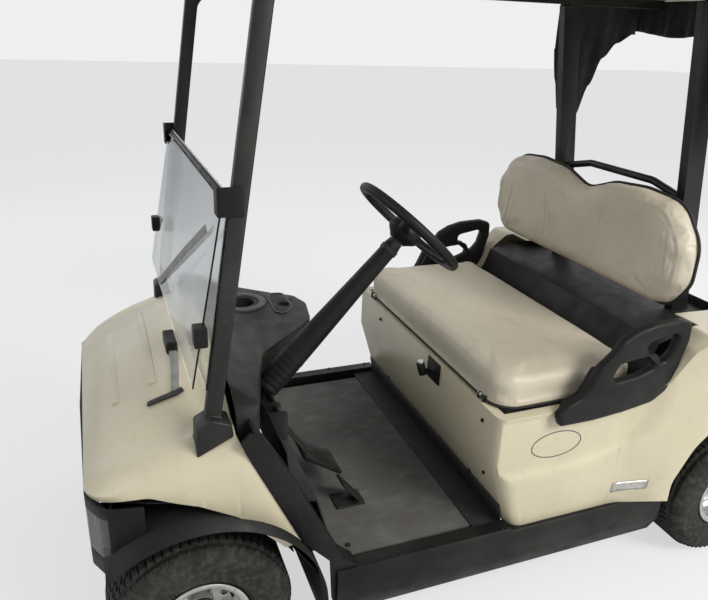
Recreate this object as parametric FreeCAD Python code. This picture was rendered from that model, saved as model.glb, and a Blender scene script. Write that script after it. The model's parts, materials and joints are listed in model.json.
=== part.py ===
import FreeCAD, Part
import math
import os
from FreeCAD import Vector as V

# Two-seat golf cart with a roof, a fold-down windshield, a bag well and independent front steering.
# Millimetres. +X is the driver's left side, the front faces -Y and +Z is up.
# Lengthwise places are written as s, the distance behind the front axle, and heights as z above the floor.

# Overall layout
overall_length = 2350
nose_overhang = 250
wheelbase = 1690
front_track = 870
rear_track = 940
front_axle_y = nose_overhang - overall_length / 2
axle_play = 0.3

# Tyres and wheels
tyre_r = 228
tyre_w = 215
tread_half = 72
bead_r = 102
rim_fit = 0.3
flange_r = 115
rim_w = 190
rim_wall = 5
hub_r = 32
hub_back = 30
hub_front = 50
disc_x = 8
disc_wall = 6
wheel_holes = 8
wheel_hole_r = 9
wheel_hole_pitch_r = 62
axle_z = tyre_r

# Front corner and steering
kingpin_x = front_track / 2 - 75
kingpin_r = 17
kingpin_half = 58
spindle_r = 14
collar_r = 22
arm_z = 28
arm_wall = 12
arm_back = 100
rack_s = 92
arm_tip_x = kingpin_x - 62
arm_knee_x = kingpin_x - 42
arm_knee_s = 45
arm_w = 22
rack_gap = 4
rack_r = 10
rack_bar_half = arm_tip_x - 133
rod_eye_r = 9
rod_eye_wall = 16
rack_housing_r = 20
rack_housing_half = rack_bar_half - 70
strut_x = kingpin_x - 85
strut_r = 26
tower_z = 560

# Frame
rail_w = 50
rail_h = 70
rail_wall = 4
rail_z = 150
front_rail_x = strut_x - 120
bumper_top = 588
rear_rail_x = 275
front_rail_s = -195
nose_bar = 20
tail_bar = 15
rail_step = 400
rail_kick = 1180
rear_rail_lift = 215
engine_z = 250
tow_hole_r = 8.5
tow_plate = 6
tow_plate_w = 90
tow_reach = 27
tow_hole_in = 13

# Cabin
floor_z = 270
mat_wall = 4
pan_wall = 4
pan_half = 478
mat_half = 470
mat_front = 375
mat_back = 850
toe_s = 300
toe_z = 480
dash_foot_s = 236
panel_lean = 0.09
panel_top_z = 640
dash_half = 478
dash_front = 104
shelf_z = 742
shelf_low_z = 548
cup_r = 42
wall = 4
kick_bottom_s = 868
kick_top_s = 800
kick_bend_z = 505
seat_deck_z = 645
body_half = 530
sill_proud = 15
fender_half = 600
crease_depth = 9
body_bottom_z = 282
tail_s = overall_length - nose_overhang - 40
rail_end_s = tail_s - 20
arch_half = 285
deck_z = 830
tail_low_z = 408
well_half = 395
well_front = 1660
well_floor_z = 485
well_rim_z = 610

# Seats
seat_half = 470
seat_front = 816
seat_back = 1292
seat_board = 12
seat_rest = 0.3
hinge_s = 812
hinge_z = 657
hinge_pin_r = 4
seat_hinge_places = (-400, 400)
backrest_front = 1338
backrest_pad = 74
backrest_half = 492
backrest_low = 862
backrest_top = 1200
backrest_dip = 1145
backrest_hump_x = 260
shell_wall = 10

# Upper works
post_x = 470
post_w = 25
post_d = 38
post_foot_s = 34
post_foot_z = 664
post_top_s = 186
post_top_z = 1667
roof_under = 1735
roof_front = 130
roof_back = 1930
roof_half = 585
roof_edge = 42
roof_crown = 92
strut_bar_x = 300
strut_bar_w = 30
strut_bar_d = 66
glass = 4
fold_z = 1270
glass_low_z = 845
fold_strip_r = 5.5
glass_half = 476

# Steering wheel and column
wheel_x = 190
wheel_s = 650
wheel_z = 1100
steer_r = 175
grip_r = 13
column_r = 21
boot_r = 32
hub_depth = 52
column_foot_s = 245
column_foot_z = 668


def at(x, s, z):
    """A point from its place across, behind the front axle and above the floor."""
    return V(x, front_axle_y + s, z)


def box(x0, x1, s0, s1, z0, z1):
    return Part.makeBox(x1 - x0, s1 - s0, z1 - z0, at(x0, s0, z0))


def mirrored(shape):
    return shape.mirror(V(0, 0, 0), V(1, 0, 0))


def both(shape):
    """The shape and its mirror image as one set of solids."""
    return Part.makeCompound([shape, mirrored(shape)])


def corner(before, point, after, radius):
    """Start, middle and end of the arc that rounds one corner of an outline."""
    u = before.sub(point)
    v = after.sub(point)
    room = 0.48 * min(u.Length, v.Length)
    u.normalize()
    v.normalize()
    half = u.getAngle(v) / 2
    if radius <= 0 or half > math.radians(89):
        return point, None, point
    reach = min(radius / math.tan(half), room)
    r = reach * math.tan(half)
    mid_way = u.add(v)
    mid_way.normalize()
    centre = point.add(mid_way * (r / math.sin(half)))
    return point.add(u * reach), centre.sub(mid_way * r), point.add(v * reach)


def rounded(points, radius, closed=True):
    """A wire through the points, its corners rounded; radius is one value or one for each point."""
    count = len(points)
    radii = list(radius) if isinstance(radius, (list, tuple)) else [radius] * count
    if not closed:
        radii[0] = radii[-1] = 0
    edges = []
    last = None
    first = None
    for i in range(count):
        if closed or 0 < i < count - 1:
            start, middle, end = corner(points[i - 1], points[i], points[(i + 1) % count], radii[i])
        else:
            start, middle, end = points[i], None, points[i]
        if last is not None and last.sub(start).Length > 1e-6:
            edges.append(Part.LineSegment(last, start).toShape())
        if middle is not None:
            edges.append(Part.Arc(start, middle, end).toShape())
        first = first if first is not None else start
        last = end
    if closed and last.sub(first).Length > 1e-6:
        edges.append(Part.LineSegment(last, first).toShape())
    return Part.Wire(edges)


def side_plate(outline, radius, x0, x1):
    """A plate whose outline, (s, z) points, is seen from the side."""
    wire = rounded([at(x0, s, z) for s, z in outline], radius)
    return Part.Face(wire).extrude(V(x1 - x0, 0, 0))


def plan_plate(outline, radius, z0, z1, lean=0):
    """A plate whose outline, (x, s) points, is seen from above; lean moves its top rearwards."""
    wire = rounded([at(x, s, z0) for x, s in outline], radius)
    return Part.Face(wire).extrude(V(0, lean, z1 - z0))


def cross_plate(outline, radius, s0, s1):
    """A plate whose outline, (x, z) points, is seen from the front."""
    wire = rounded([at(x, s0, z) for x, z in outline], radius)
    return Part.Face(wire).extrude(V(0, s1 - s0, 0))


def band(line, thick, centred=False):
    """The closed outline of a strip along an open line of 2-D points, to the left of its direction."""
    offset = []
    for i, (a, b) in enumerate(line):
        normals = []
        for j in (i - 1, i):
            if 0 <= j < len(line) - 1:
                da = line[j + 1][0] - line[j][0]
                db = line[j + 1][1] - line[j][1]
                size = math.hypot(da, db)
                normals.append((-db / size, da / size))
        na = sum(n[0] for n in normals) / len(normals)
        nb = sum(n[1] for n in normals) / len(normals)
        scale = 1 / (na * na + nb * nb)
        offset.append((na * scale, nb * scale))
    low = -thick / 2 if centred else 0
    one = [(a + low * n[0], b + low * n[1]) for (a, b), n in zip(line, offset)]
    two = [(a + (low + thick) * n[0], b + (low + thick) * n[1]) for (a, b), n in zip(line, offset)]
    return one + two[::-1]


def both_sides(half_outline):
    """A closed (x, other) outline from the points of its +X half, front or top first."""
    return half_outline + [(-x, other) for x, other in half_outline[::-1]]


def rod(start, end, radius, bore=0):
    """A round bar or tube between two (x, s, z) places."""
    a = at(*start)
    way = at(*end).sub(a)
    bar = Part.makeCylinder(radius, way.Length, a, way)
    return bar.cut(Part.makeCylinder(bore, way.Length, a, way)) if bore else bar


def bent_bar(places, bend, radius):
    """A round bar along (x, s, z) places with rounded bends."""
    path = rounded([at(*p) for p in places], bend, closed=False)
    way = at(*places[1]).sub(at(*places[0]))
    ring = Part.Wire(Part.makeCircle(radius, at(*places[0]), way))
    return path.makePipeShell([ring], True, False)


def turned(profile, s, z, radius=0):
    """A ring turned about the axle line at (s, z) from (x, radius) points."""
    wire = rounded([at(x, s, z + r) for x, r in profile], radius)
    return Part.Face(wire).revolve(at(0, s, z), V(1, 0, 0), 360)


def fused(shapes):
    out = shapes[0]
    for shape in shapes[1:]:
        out = out.fuse(shape)
    return out.removeSplitter()


def outward(solid):
    """The solid with its faces pointing outwards."""
    if solid.Volume < 0:
        solid.reverse()
    return solid


# Wheels

def tyre(x, s):
    """Plain tyre ring; its tread and lettering are left out."""
    half = tyre_w / 2
    lip = rim_w / 2 - 9.5
    # x from the middle, radius
    side = [(lip, bead_r), (lip, flange_r + 3), (half - 4, flange_r + 13), (half, 160), (half, 195),
            (half - 10, tyre_r - 11), (tread_half, tyre_r)]
    ring = side + [(-a, r) for a, r in side[::-1]]
    return turned([(x + a, r) for a, r in ring], s, axle_z)


def wheel(x, s):
    """Pressed wheel with a drop centre, a holed disc and a capped hub, its outer side towards +X."""
    half = rim_w / 2
    seat = bead_r - rim_fit
    well = seat - 12
    bore = spindle_r + axle_play
    # x from the middle, radius
    section = [(-hub_back, bore), (-hub_back, hub_r), (disc_x, hub_r), (disc_x, well - rim_wall),
               (-22, well - rim_wall), (-32, seat - rim_wall), (5 - half, seat - rim_wall),
               (-half, flange_r - 7), (-half, flange_r), (6 - half, flange_r), (9 - half, seat),
               (-30, seat), (-20, well), (20, well), (30, seat), (half - 9, seat),
               (half - 6, flange_r), (half, flange_r), (half, flange_r - 7), (half - 5, seat - rim_wall),
               (32, seat - rim_wall), (22, well - rim_wall), (disc_x + disc_wall, well - rim_wall),
               (disc_x + disc_wall, hub_r), (hub_front, hub_r), (hub_front, 0), (hub_front - 4, 0),
               (hub_front - 4, bore)]
    ring = turned([(x + a, r) for a, r in section], s, axle_z)
    holes = []
    for i in range(wheel_holes):
        turn = 2 * math.pi * i / wheel_holes
        across = s + wheel_hole_pitch_r * math.cos(turn)
        up = axle_z + wheel_hole_pitch_r * math.sin(turn)
        holes.append(rod((x + disc_x - 2, across, up), (x + disc_x + disc_wall + 2, across, up), wheel_hole_r))
    return ring.cut(Part.makeCompound(holes))


# Steering and front suspension

def knuckle():
    """Left knuckle: upright, spindle and the arm that the tie rod pulls."""
    hub_face = front_track / 2 - hub_back
    upright = rod((kingpin_x, 0, axle_z - kingpin_half), (kingpin_x, 0, axle_z + kingpin_half), kingpin_r)
    collar = rod((kingpin_x, 0, axle_z), (hub_face - 1, 0, axle_z), collar_r)
    spindle = rod((kingpin_x, 0, axle_z), (front_track / 2 + hub_front - 6, 0, axle_z), spindle_r)
    line = [(kingpin_x, 0), (arm_knee_x, arm_knee_s), (arm_tip_x, arm_back + arm_w / 2)]
    arm = plan_plate(band(line, arm_w, True), 6, axle_z + arm_z, axle_z + arm_z + arm_wall)
    return fused([upright, collar, spindle, arm])


def steering_rack():
    """Rack bar with an eye at each end just below the steering arms."""
    top = axle_z + arm_z - rack_gap
    mid = top - rod_eye_wall / 2
    bar = rod((-arm_tip_x, rack_s, mid), (arm_tip_x, rack_s, mid), rack_r - 2)
    bar = bar.fuse(rod((-rack_bar_half, rack_s, mid), (rack_bar_half, rack_s, mid), rack_r))
    eye = rod((arm_tip_x, rack_s, top - rod_eye_wall), (arm_tip_x, rack_s, top), rod_eye_r)
    return fused([bar, eye, mirrored(eye)])


def front_suspension():
    """Lower arms, ball joint cups and spring struts on both sides, carried by the frame."""
    low = axle_z - kingpin_half
    high = axle_z + kingpin_half
    cup = rod((kingpin_x, 0, low - 18), (kingpin_x, 0, low - 0.5), 20)
    legs = []
    for foot_s in (-110, 110):
        line = [(front_rail_x, foot_s * 1.1), (kingpin_x, 0)]
        leg = plan_plate(band(line, 24, True), 0, low - 16, low - 4)
        legs.append(leg.cut(box(0, front_rail_x + rail_w / 2, -200, 200, 0, 300)))
    top_cup = rod((kingpin_x, 0, high + 0.5), (kingpin_x, 0, high + 16), 20)
    fork = box(strut_x, kingpin_x, -16, 16, high + 2, high + 14)
    # radius, height above the fork: a damper tube inside a coil spring shown as rings
    body_top = tower_z - high - 2
    profile = [(0, 0), (18, 0), (18, 20), (strut_r, 24)]
    coil = 5
    pitch = (body_top - 50) / coil
    for i in range(coil):
        base = 24 + i * pitch
        profile += [(strut_r, base + pitch * 0.5), (strut_r - 9, base + pitch * 0.55),
                    (strut_r - 9, base + pitch * 0.95)]
        if i < coil - 1:
            profile.append((strut_r, base + pitch))
    profile += [(strut_r - 9, body_top - 8), (12, body_top - 8), (12, body_top), (0, body_top)]
    wire = Part.makePolygon([at(strut_x + r, 0, high + 2 + h) for r, h in profile + profile[:1]])
    strut = Part.Face(wire).revolve(at(strut_x, 0, 0), V(0, 0, 1), 360)
    return both(fused([cup] + legs + [top_cup, fork, strut]))


def rear_axle():
    """Live axle: tube, gear case, brake drums and the shafts that the wheels run on."""
    s = wheelbase
    drum_face = rear_track / 2 - hub_back - 1
    tube = rod((0, s, axle_z), (drum_face, s, axle_z), 32)
    drum = rod((drum_face - 42, s, axle_z), (drum_face, s, axle_z), 78)
    shaft = rod((0, s, axle_z), (rear_track / 2 + hub_front - 6, s, axle_z), spindle_r)
    case = rod((-85, s, axle_z), (85, s, axle_z), 85)
    pad = box(rear_rail_x - 20, rear_rail_x + 20, s - 40, s + 40, axle_z + 20, axle_z + 44)
    half = fused([tube, drum, shaft, pad])
    return fused([half, mirrored(half), case])


def rear_springs():
    """Coil springs over dampers between the axle pads and the rails."""
    low = axle_z + 44
    high = rail_z + rear_rail_lift
    free = high - low
    rings = 4
    pitch = free / rings
    profile = [(0, 0)]
    for i in range(rings):
        profile += [(34, i * pitch), (34, (i + 0.5) * pitch), (24, (i + 0.55) * pitch),
                    (24, (i + 0.98) * pitch)]
    profile += [(24, free), (0, free)]
    wire = Part.makePolygon([at(rear_rail_x + r, wheelbase, low + h) for r, h in profile + profile[:1]])
    return both(Part.Face(wire).revolve(at(rear_rail_x, wheelbase, 0), V(0, 0, 1), 360))


# Frame

def rail_run(line, x):
    """One rectangular tube rail along (s, z) points of its lower face."""
    outer = side_plate(band(line, rail_h), 0, x - rail_w / 2, x + rail_w / 2)
    inner_line = [(s, z + rail_wall) for s, z in line]
    inner = side_plate(band(inner_line, rail_h - 2 * rail_wall), 0,
                       x - rail_w / 2 + rail_wall, x + rail_w / 2 - rail_wall)
    return outer.cut(inner)


def front_rails():
    """Two straight rails under the nose and the front of the floor."""
    return both(rail_run([(front_rail_s, rail_z), (rail_step, rail_z)], front_rail_x))


def rear_rails():
    """Two wider set rails, lifted over the rear axle."""
    lifted = rail_z + rear_rail_lift
    line = [(rail_step - 60, rail_z), (rail_kick, rail_z), (rail_kick + 200, lifted), (rail_end_s, lifted)]
    return both(rail_run(line, rear_rail_x))


def crossmembers():
    """Bars, feet and tow plates that join the rails, each a solid of its own."""
    top = rail_z + rail_h
    lifted = rail_z + rear_rail_lift
    in_rear = rear_rail_x - rail_w / 2
    out_rear = rear_rail_x + rail_w / 2
    in_front = front_rail_x - rail_w / 2
    out_front = front_rail_x + rail_w / 2
    cradle_z = engine_z - seat_rest
    # half length, s from, s to, z from, z to
    bars = [(out_front, front_rail_s - nose_bar, front_rail_s, rail_z - 10, top),
            (in_rear, rail_step, rail_step + rail_w, rail_z, top),
            (in_rear, 820, 870, rail_z, top),
            (out_rear, rail_end_s, rail_end_s + tail_bar, lifted - 10, lifted + rail_h),
            (out_rear, 960, 990, top, cradle_z),
            (out_rear, 1100, 1130, top, cradle_z),
            (in_front, rack_s - 20, rack_s + 20, top - 30, top - 2),
            (strut_x + 40, -34, 34, tower_z, tower_z + 6)]
    parts = [box(-half, half, s0, s1, z0, z1) for half, s0, s1, z0, z1 in bars]
    sill = body_half + sill_proud - wall - seat_rest
    pan = floor_z - mat_wall - pan_wall
    # x from, x to, s from, s to, z from, z to: outriggers, floor feet and tower legs
    sides = [(out_rear, sill, 420, 450, top - 30, top),
             (out_rear, sill, 830, 860, top - 30, top),
             (rear_rail_x - 20, rear_rail_x + 20, 425, 455, top, pan),
             (rear_rail_x - 20, rear_rail_x + 20, 825, 855, top, pan),
             (front_rail_x - 20, front_rail_x + 20, -30, 30, top, tower_z)]
    for place in sides:
        parts += both(box(*place)).Solids
    half = tow_plate_w / 2
    nose = front_rail_s - nose_bar
    front_tow = box(-half, half, nose - tow_reach, nose, rail_z, rail_z + tow_plate)
    hole_s = nose - tow_hole_in
    front_tow = front_tow.cut(rod((0, hole_s, rail_z - 5), (0, hole_s, rail_z + 20), tow_hole_r))
    hitch_z = lifted - 10 - tow_plate
    rear_tow = box(-half, half, rail_end_s, tail_s + 38, hitch_z, hitch_z + tow_plate)
    hole_s = tail_s + 16
    rear_tow = rear_tow.cut(rod((0, hole_s, hitch_z - 5), (0, hole_s, hitch_z + 20), tow_hole_r))
    return Part.makeCompound(parts + [rack_housing(top), front_tow, rear_tow])


def rack_housing(top):
    """Bored tube that the rack bar slides in, on its saddle."""
    mid = axle_z + arm_z - rack_gap - rod_eye_wall / 2
    tube = rod((-rack_housing_half, rack_s, mid), (rack_housing_half, rack_s, mid), rack_housing_r)
    saddle = box(-40, 40, rack_s - 15, rack_s + 15, top - 2, mid - rack_r - 4)
    bore = rod((-rack_housing_half - 5, rack_s, mid), (rack_housing_half + 5, rack_s, mid), rack_r + axle_play)
    return fused([tube, saddle]).cut(bore)


def engine_block():
    """The engine under the seat, as one plain block."""
    return box(-190, 190, 930, 1340, engine_z, engine_z + 300)


# Cabin floor

def panel_s(z):
    """Rear face of the upright panel under the dash at a height."""
    return dash_foot_s + pan_wall - (z - toe_z - 18) * panel_lean


def floor_pan():
    """Floor, sloped toe board and the upright panel under the dash, one bent sheet."""
    low = floor_z - mat_wall - pan_wall
    line = [(kick_bottom_s - 6, low), (360, low), (toe_s, toe_z), (dash_foot_s, toe_z + 18),
            (panel_s(panel_top_z) - pan_wall, panel_top_z)]
    sheet = side_plate(band(line, -pan_wall), 0, -pan_half, pan_half)
    return sheet.cut(column_way(boot_r + seat_rest)).cut(shaft_line(16))


def floor_mat():
    outline = both_sides([(mat_half - 30, mat_front), (mat_half, mat_front + 20), (mat_half, mat_back)])
    return plan_plate(outline, 8, floor_z - mat_wall, floor_z)


def rocker():
    """Left sill and the trim that rises along the cowl's rear edge, one thin moulding."""
    outer = body_half + sill_proud
    # x, height: door opening section, then the lower section under the rear body
    door = [(500, 262), (500, 292), (outer - 4, 292), (outer, 284), (outer, 186), (515, 122), (488, 116)]
    top = body_bottom_z + 0.2
    low = [(500, 262), (500, top), (outer - 4, top), (outer, top - 7), (outer, 186), (515, 122), (488, 116)]
    sill = cross_plate(band(door, -wall), 0, 340, kick_bottom_s - 2)
    under = cross_plate(band(low, -wall), 0, kick_bottom_s - 2, 1425)
    # s, height of the rising trim
    rear = [(128, 757), (160, 708), (212, 620), (292, 452), (352, 330)]
    rise = [(330, 190), (322, 328), (252, 405), (100, 728)] + rear + [(400, 292), (400, 190)]
    blade = side_plate(rise, 10, body_half - 2, body_half + 5)
    lip = side_plate(band(rear + [(396, 290)], wall), 0, dash_half + 4, body_half + 5)
    return fused([sill, under, blade, lip])


# Front body

def cowl_section(s, half, side_z, crown_z, foot_z):
    """Closed cowl section at s: upright sides, rounded shoulders and a crowned top."""
    shoulder = half - 95
    knee_z = side_z + (crown_z - side_z) * 0.45
    a = at(-half, s, foot_z)
    b = at(half, s, foot_z)
    c = at(half, s, side_z)
    d = at(shoulder, s, knee_z)
    mid = at(half - 26, s, side_z + (knee_z - side_z) * 0.72)
    crown = at(0, s, crown_z)
    edges = [Part.LineSegment(a, b).toShape(), Part.LineSegment(b, c).toShape(),
             Part.Arc(c, mid, d).toShape(), Part.Arc(d, crown, at(-shoulder, s, knee_z)).toShape(),
             Part.Arc(at(-shoulder, s, knee_z), at(26 - half, s, mid.z), at(-half, s, side_z)).toShape(),
             Part.LineSegment(at(-half, s, side_z), a).toShape()]
    return Part.Wire(edges)


def cowl_form(inset):
    """The cowl's outer form, or the same form drawn in by the wall."""
    # s, half width, top of the upright side, crown
    table = [(8 - nose_overhang, 400, 590, 598), (-227, 436, 597, 625), (-195, 466, 606, 672),
             (-140, 492, 618, 722), (-60, 516, 630, 775), (30, 526, 645, 815), (110, 530, 665, 842)]
    wires = []
    for i, (s, half, side_z, crown_z) in enumerate(table):
        place = s + inset if i == 0 else s
        wires.append(cowl_section(place, half - inset, side_z - inset, crown_z - inset, 380))
    front = outward(Part.makeLoft(wires, True, False))
    last = cowl_section(110, 530 - inset, 665 - inset, 842 - inset, 380)
    tail = Part.Face(last).extrude(V(0, 160, 0))
    return front.fuse(tail)


def notch_z(s):
    """Height of the sloped seat that is cut into the cowl for each post foot."""
    return 691 + (s - 8) * 0.482


def front_cowl():
    """Painted nose shell: hollow, open below and behind, cut out over the wheels."""
    shell = cowl_form(0).cut(cowl_form(wall))
    # s, height: everything below the wheel arches and behind the rear edge goes
    low = bumper_top + seat_rest
    arch = [(-400, 300), (-400, low), (-205, low), (-104, 609), (3, 574), (94, 522), (206, 402),
             (246, 411), (400, 411), (400, 300)]
    back = [(246, 411), (98, 728), (98, 900), (420, 900), (420, 411)]
    shell = shell.cut(side_plate(arch, [0, 0, 30, 60, 80, 60, 6, 0, 0, 0], -700, 700))
    shell = shell.cut(side_plate(back, 0, -700, 700))
    notch = side_plate([(8, notch_z(8)), (92, notch_z(92)), (92, 900), (8, 900)], 0, 440, 600)
    return shell.cut(notch).cut(mirrored(notch))


def bumper_ring(inset, z0, z1):
    """Closed plan form of the front bumper."""
    nose = -nose_overhang + inset
    half = [(0, nose), (425 - inset, nose + 8), (492 - inset, nose + 44), (506 - inset, -105)]
    outline = half + [(-x, s) for x, s in half[:0:-1]]
    return plan_plate(outline, [0, 45, 50, 0, 0, 50, 45], z0, z1)


def lamp_window(grow):
    return box(414 - grow, 520, -300, -196 + grow, 448 - grow, 560 + grow)


def front_bumper():
    """Black wrap-around bumper, higher at its ends where the wheels steer."""
    low = 330
    top = bumper_top
    ring = bumper_ring(0, low, top).cut(bumper_ring(wall, low - 1, top + 1))
    lift = cross_plate([(250, 300), (330, 392), (600, 400), (600, 300)], [0, 25, 0, 0], -400, 0)
    ends = box(-600, 600, -178, 0, low - 1, 472).fuse(box(-600, 600, -116, 0, low - 1, top + 1))
    ring = ring.cut(lift).cut(mirrored(lift)).cut(ends)
    window = lamp_window(rim_fit)
    ring = ring.cut(window).cut(mirrored(window))
    shelf = bumper_ring(wall, top - wall, top).cut(box(-600, 600, -215, 0, low, top + 1))
    nose = front_rail_s - nose_bar
    bridge = both(box(front_rail_x - 15, front_rail_x + 15, wall - nose_overhang, nose, 180, 350))
    return fused([ring, shelf] + bridge.Solids)


def headlamp():
    """Left lamp lens, filling its window in the bumper."""
    form = bumper_ring(0, 400, 600).cut(bumper_ring(22, 399, 601))
    return form.common(lamp_window(0))


def wheel_liner():
    """Left inner arch over the steered wheel."""
    # s, height
    line = [(-232, 400), (-228, 560), (-176, 592), (-20, 588), (95, 536), (185, 440), (290, 280), (318, 190)]
    arch = side_plate(band(line, 3), 12, 330, 560)
    upper = arch.common(cowl_form(wall + seat_rest)).cut(box(408, 600, -300, -185, 380, 620))
    panel = box(400, 486, -188, -185, 466, 588)
    return fused([upper, panel, arch.common(box(330, 500, -300, 400, 100, 380))])


# Dashboard and steering

def column_way(radius):
    """Cylinder along the steering column, for cutting its passage."""
    foot = (wheel_x, 2 * column_foot_s - 330, column_foot_z - (330 - column_foot_s) * steer_slope())
    return rod(foot, (wheel_x, wheel_s - 120, wheel_z - 120 * steer_slope()), radius)


def shaft_line(radius):
    """Lower steering shaft, from the column's foot to the rack, or its passage."""
    rack_top = axle_z + arm_z - rack_gap - rod_eye_wall / 2 + rack_housing_r
    foot = (wheel_x, column_foot_s, column_foot_z)
    return rod(foot, (rack_housing_half - 30, rack_s, rack_top + 4), radius)


def steer_slope():
    return (wheel_z - column_foot_z) / (wheel_s - column_foot_s)


def dash_plan(inset, z):
    """Plan face of the dash: a rounded shelf on the passenger's side, shallow on the driver's side."""
    # x, s of the rear edge
    edge = [(-440, 236), (-403, 288), (-314, 394), (-275, 452), (-200, 475), (-71, 452), (-20, 402),
            (129, 247), (300, 197)]
    far = [(-dash_half, dash_front), (-dash_half, 205)]
    near = [(dash_half, 158), (dash_half, dash_front)]
    radii = [0, 40, 60, 60, 60, 40, 60, 50, 60, 120, 200, 30, 0]
    face = Part.Face(rounded([at(x, s, z) for x, s in far + edge + near], radii))
    return face.makeOffset2D(-inset) if inset else face


def dash_form(inset):
    """The dash block, or the same block drawn in by the wall and run out through the front."""
    block = dash_plan(inset, 500).extrude(V(0, 0, 400))
    front = dash_front
    if inset:
        front -= 10
        block = block.fuse(box(inset - dash_half, dash_half - inset, front, dash_front + 30, 500, 900))
    # s, height
    top = [(front, 812 - inset), (160, 782 - inset), (214, 750 - inset), (262, shelf_z - inset),
           (500, shelf_z - inset)]
    low = [(500, 654 + inset), (panel_s(shelf_low_z) + seat_rest, shelf_low_z + inset),
           (panel_s(panel_top_z) + seat_rest, panel_top_z + 5 + inset), (front, panel_top_z + 5 + inset)]
    side = side_plate(top + low, [0, 60, 60, 40, 0, 0, 0, 0, 0], -600, 600)
    half = dash_half - inset
    arch = cross_plate(both_sides([(half, 500), (half, 770 - inset), (half - 78, 815 - inset)]),
                       [0, 60, 80, 80, 60, 0], 0, 600)
    return block.common(side).common(arch)


def dashboard():
    """Dash moulding: thin walls, open towards the nose, with a cup well and a round tray in its shelf."""
    body = dash_form(0).cut(dash_form(wall))
    # x, s, radius, floor height
    for x, s, r, floor in ((-255, 270, cup_r, 654), (-205, 400, 20, 720)):
        cup = rod((x, s, floor - wall), (x, s, shelf_z - 1), r + wall)
        body = body.fuse(cup).cut(rod((x, s, floor), (x, s, shelf_z + 20), r))
    return body.cut(column_way(boot_r + seat_rest)).cut(shaft_line(16)).removeSplitter()


def steering_column():
    """Column tube with its lower boot and the shaft down to the rack."""
    slope = steer_slope()
    back = (hub_depth + axle_play) / math.hypot(1, slope)
    head = (wheel_x, wheel_s - back, wheel_z - back * slope)
    foot = (wheel_x, column_foot_s, column_foot_z)
    tube = rod(foot, head, column_r)
    boot = rod(foot, (wheel_x, column_foot_s + 75, column_foot_z + 75 * slope), boot_r)
    return fused([tube, boot, shaft_line(10)])


def steering_wheel():
    """Rim, three spokes and hub, square to the column."""
    centre = at(wheel_x, wheel_s, wheel_z)
    axis = at(wheel_x, wheel_s, wheel_z).sub(at(wheel_x, column_foot_s, column_foot_z))
    axis.normalize()
    rim = Part.makeTorus(steer_r - grip_r, grip_r)
    hub = Part.makeCylinder(38, 34, V(0, 0, -40))
    neck = Part.makeCylinder(24, 14, V(0, 0, -hub_depth))
    spokes = []
    for turn in (90, -35, -145):
        bar = Part.makeBox(steer_r - grip_r, 26, 9, V(0, -13, -22))
        bar.rotate(V(0, 0, 0), V(0, 1, 0), -4)
        bar.rotate(V(0, 0, 0), V(0, 0, 1), turn)
        spokes.append(bar)
    wheel_solid = fused([rim, hub, neck] + spokes)
    tilt = FreeCAD.Rotation(V(0, 0, 1), axis)
    wheel_solid.Placement = FreeCAD.Placement(centre, tilt)
    return wheel_solid


def brake_pedal():
    """Wide pedal pad on two hanging arms, with the brackets that hold its bar to the panel."""
    pad = side_plate(band([(478, 330), (360, 408)], 10), 0, 70, 190)
    arm_line = [(382, 400), (300, 520), (272, 600)]
    arms = [side_plate(band(arm_line, 9), 0, x, x + 10) for x in (118, 158)]
    bar = rod((120, 268, 600), (275, 268, 600), 9)
    brackets = []
    for x, low, high in ((196, 582, 618), (270, 540, 632)):
        face = [(panel_s(low) + seat_rest, low), (panel_s(high) + seat_rest, high), (282, high), (282, low)]
        brackets.append(side_plate(face, [0, 0, 10, 10], x, x + 5))
    return fused([pad, bar] + arms + brackets)


def accelerator_pedal():
    """Floor-hung pedal to the right of the brake, with its hinge plate."""
    plate = box(215, 285, 430, 520, floor_z, floor_z + 6)
    pad = side_plate(band([(512, 275), (452, 352)], 8), 0, 222, 278)
    return fused([plate, pad])


# Rear body

def body_form(inset):
    """Closed outer form of the rear body, or the same form drawn in by the wall."""
    lean = kick_top_s - kick_bottom_s
    # s, height
    deck = seat_deck_z - inset
    side = [(kick_bottom_s - 90, body_bottom_z), (kick_bottom_s - 90, deck), (1200, deck), (1328, 690 - inset),
             (1384, 792 - inset), (1440, deck_z - inset), (1900, deck_z - 14 - inset),
            (tail_s - inset, deck_z - 80), (tail_s + 8 - inset, 400), (tail_s + 8 - inset, body_bottom_z)]
    silhouette = side_plate(side, [0, 0, 60, 60, 50, 40, 120, 60, 0, 0], -700, 700)
    outer = fender_half - inset
    front = body_half - inset
    plan = both_sides([(front, 600), (front, 1240), (outer, 1470), (outer, 1880),
                       (outer - 55, tail_s + 10 - inset)])
    flare = plan_plate(plan, [0, 200, 160, 90, 60, 60, 90, 160, 200, 0], 200, 1000)
    corner_r = 45 - inset
    low = both_sides([(front, kick_bottom_s + inset), (front, 2600)])
    low_part = plan_plate(low, [corner_r, 0, 0, corner_r], body_bottom_z, kick_bend_z, lean)
    high = both_sides([(front, kick_top_s + inset), (front, 2600)])
    high_part = plan_plate(high, [corner_r, 0, 0, corner_r], kick_bend_z, 1000)
    wide = box(-700, 700, 1100, 2600, 200, 1000)
    form = silhouette.common(flare).common(fused([low_part, high_part, wide]))
    # s, height of the crease; the side is set in above it
    crease = [(700, kick_bend_z), (1000, 521), (1200, 582), (1262, 640), (1262, 900), (700, 900)]
    step = side_plate(crease, [0, 200, 100, 0, 0, 0], front - crease_depth, 700)
    return form.cut(step).cut(mirrored(step))


def arch_cut():
    """Rear wheel arch outline as a cutter through both sides."""
    s = wheelbase
    outline = [(s - arch_half, 200), (s - arch_half, 350), (s - arch_half + 70, 555), (s + arch_half - 70, 555),
               (s + arch_half, 350), (s + arch_half, 200)]
    return side_plate(outline, [0, 120, 150, 150, 120, 0], -700, 700)


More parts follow.
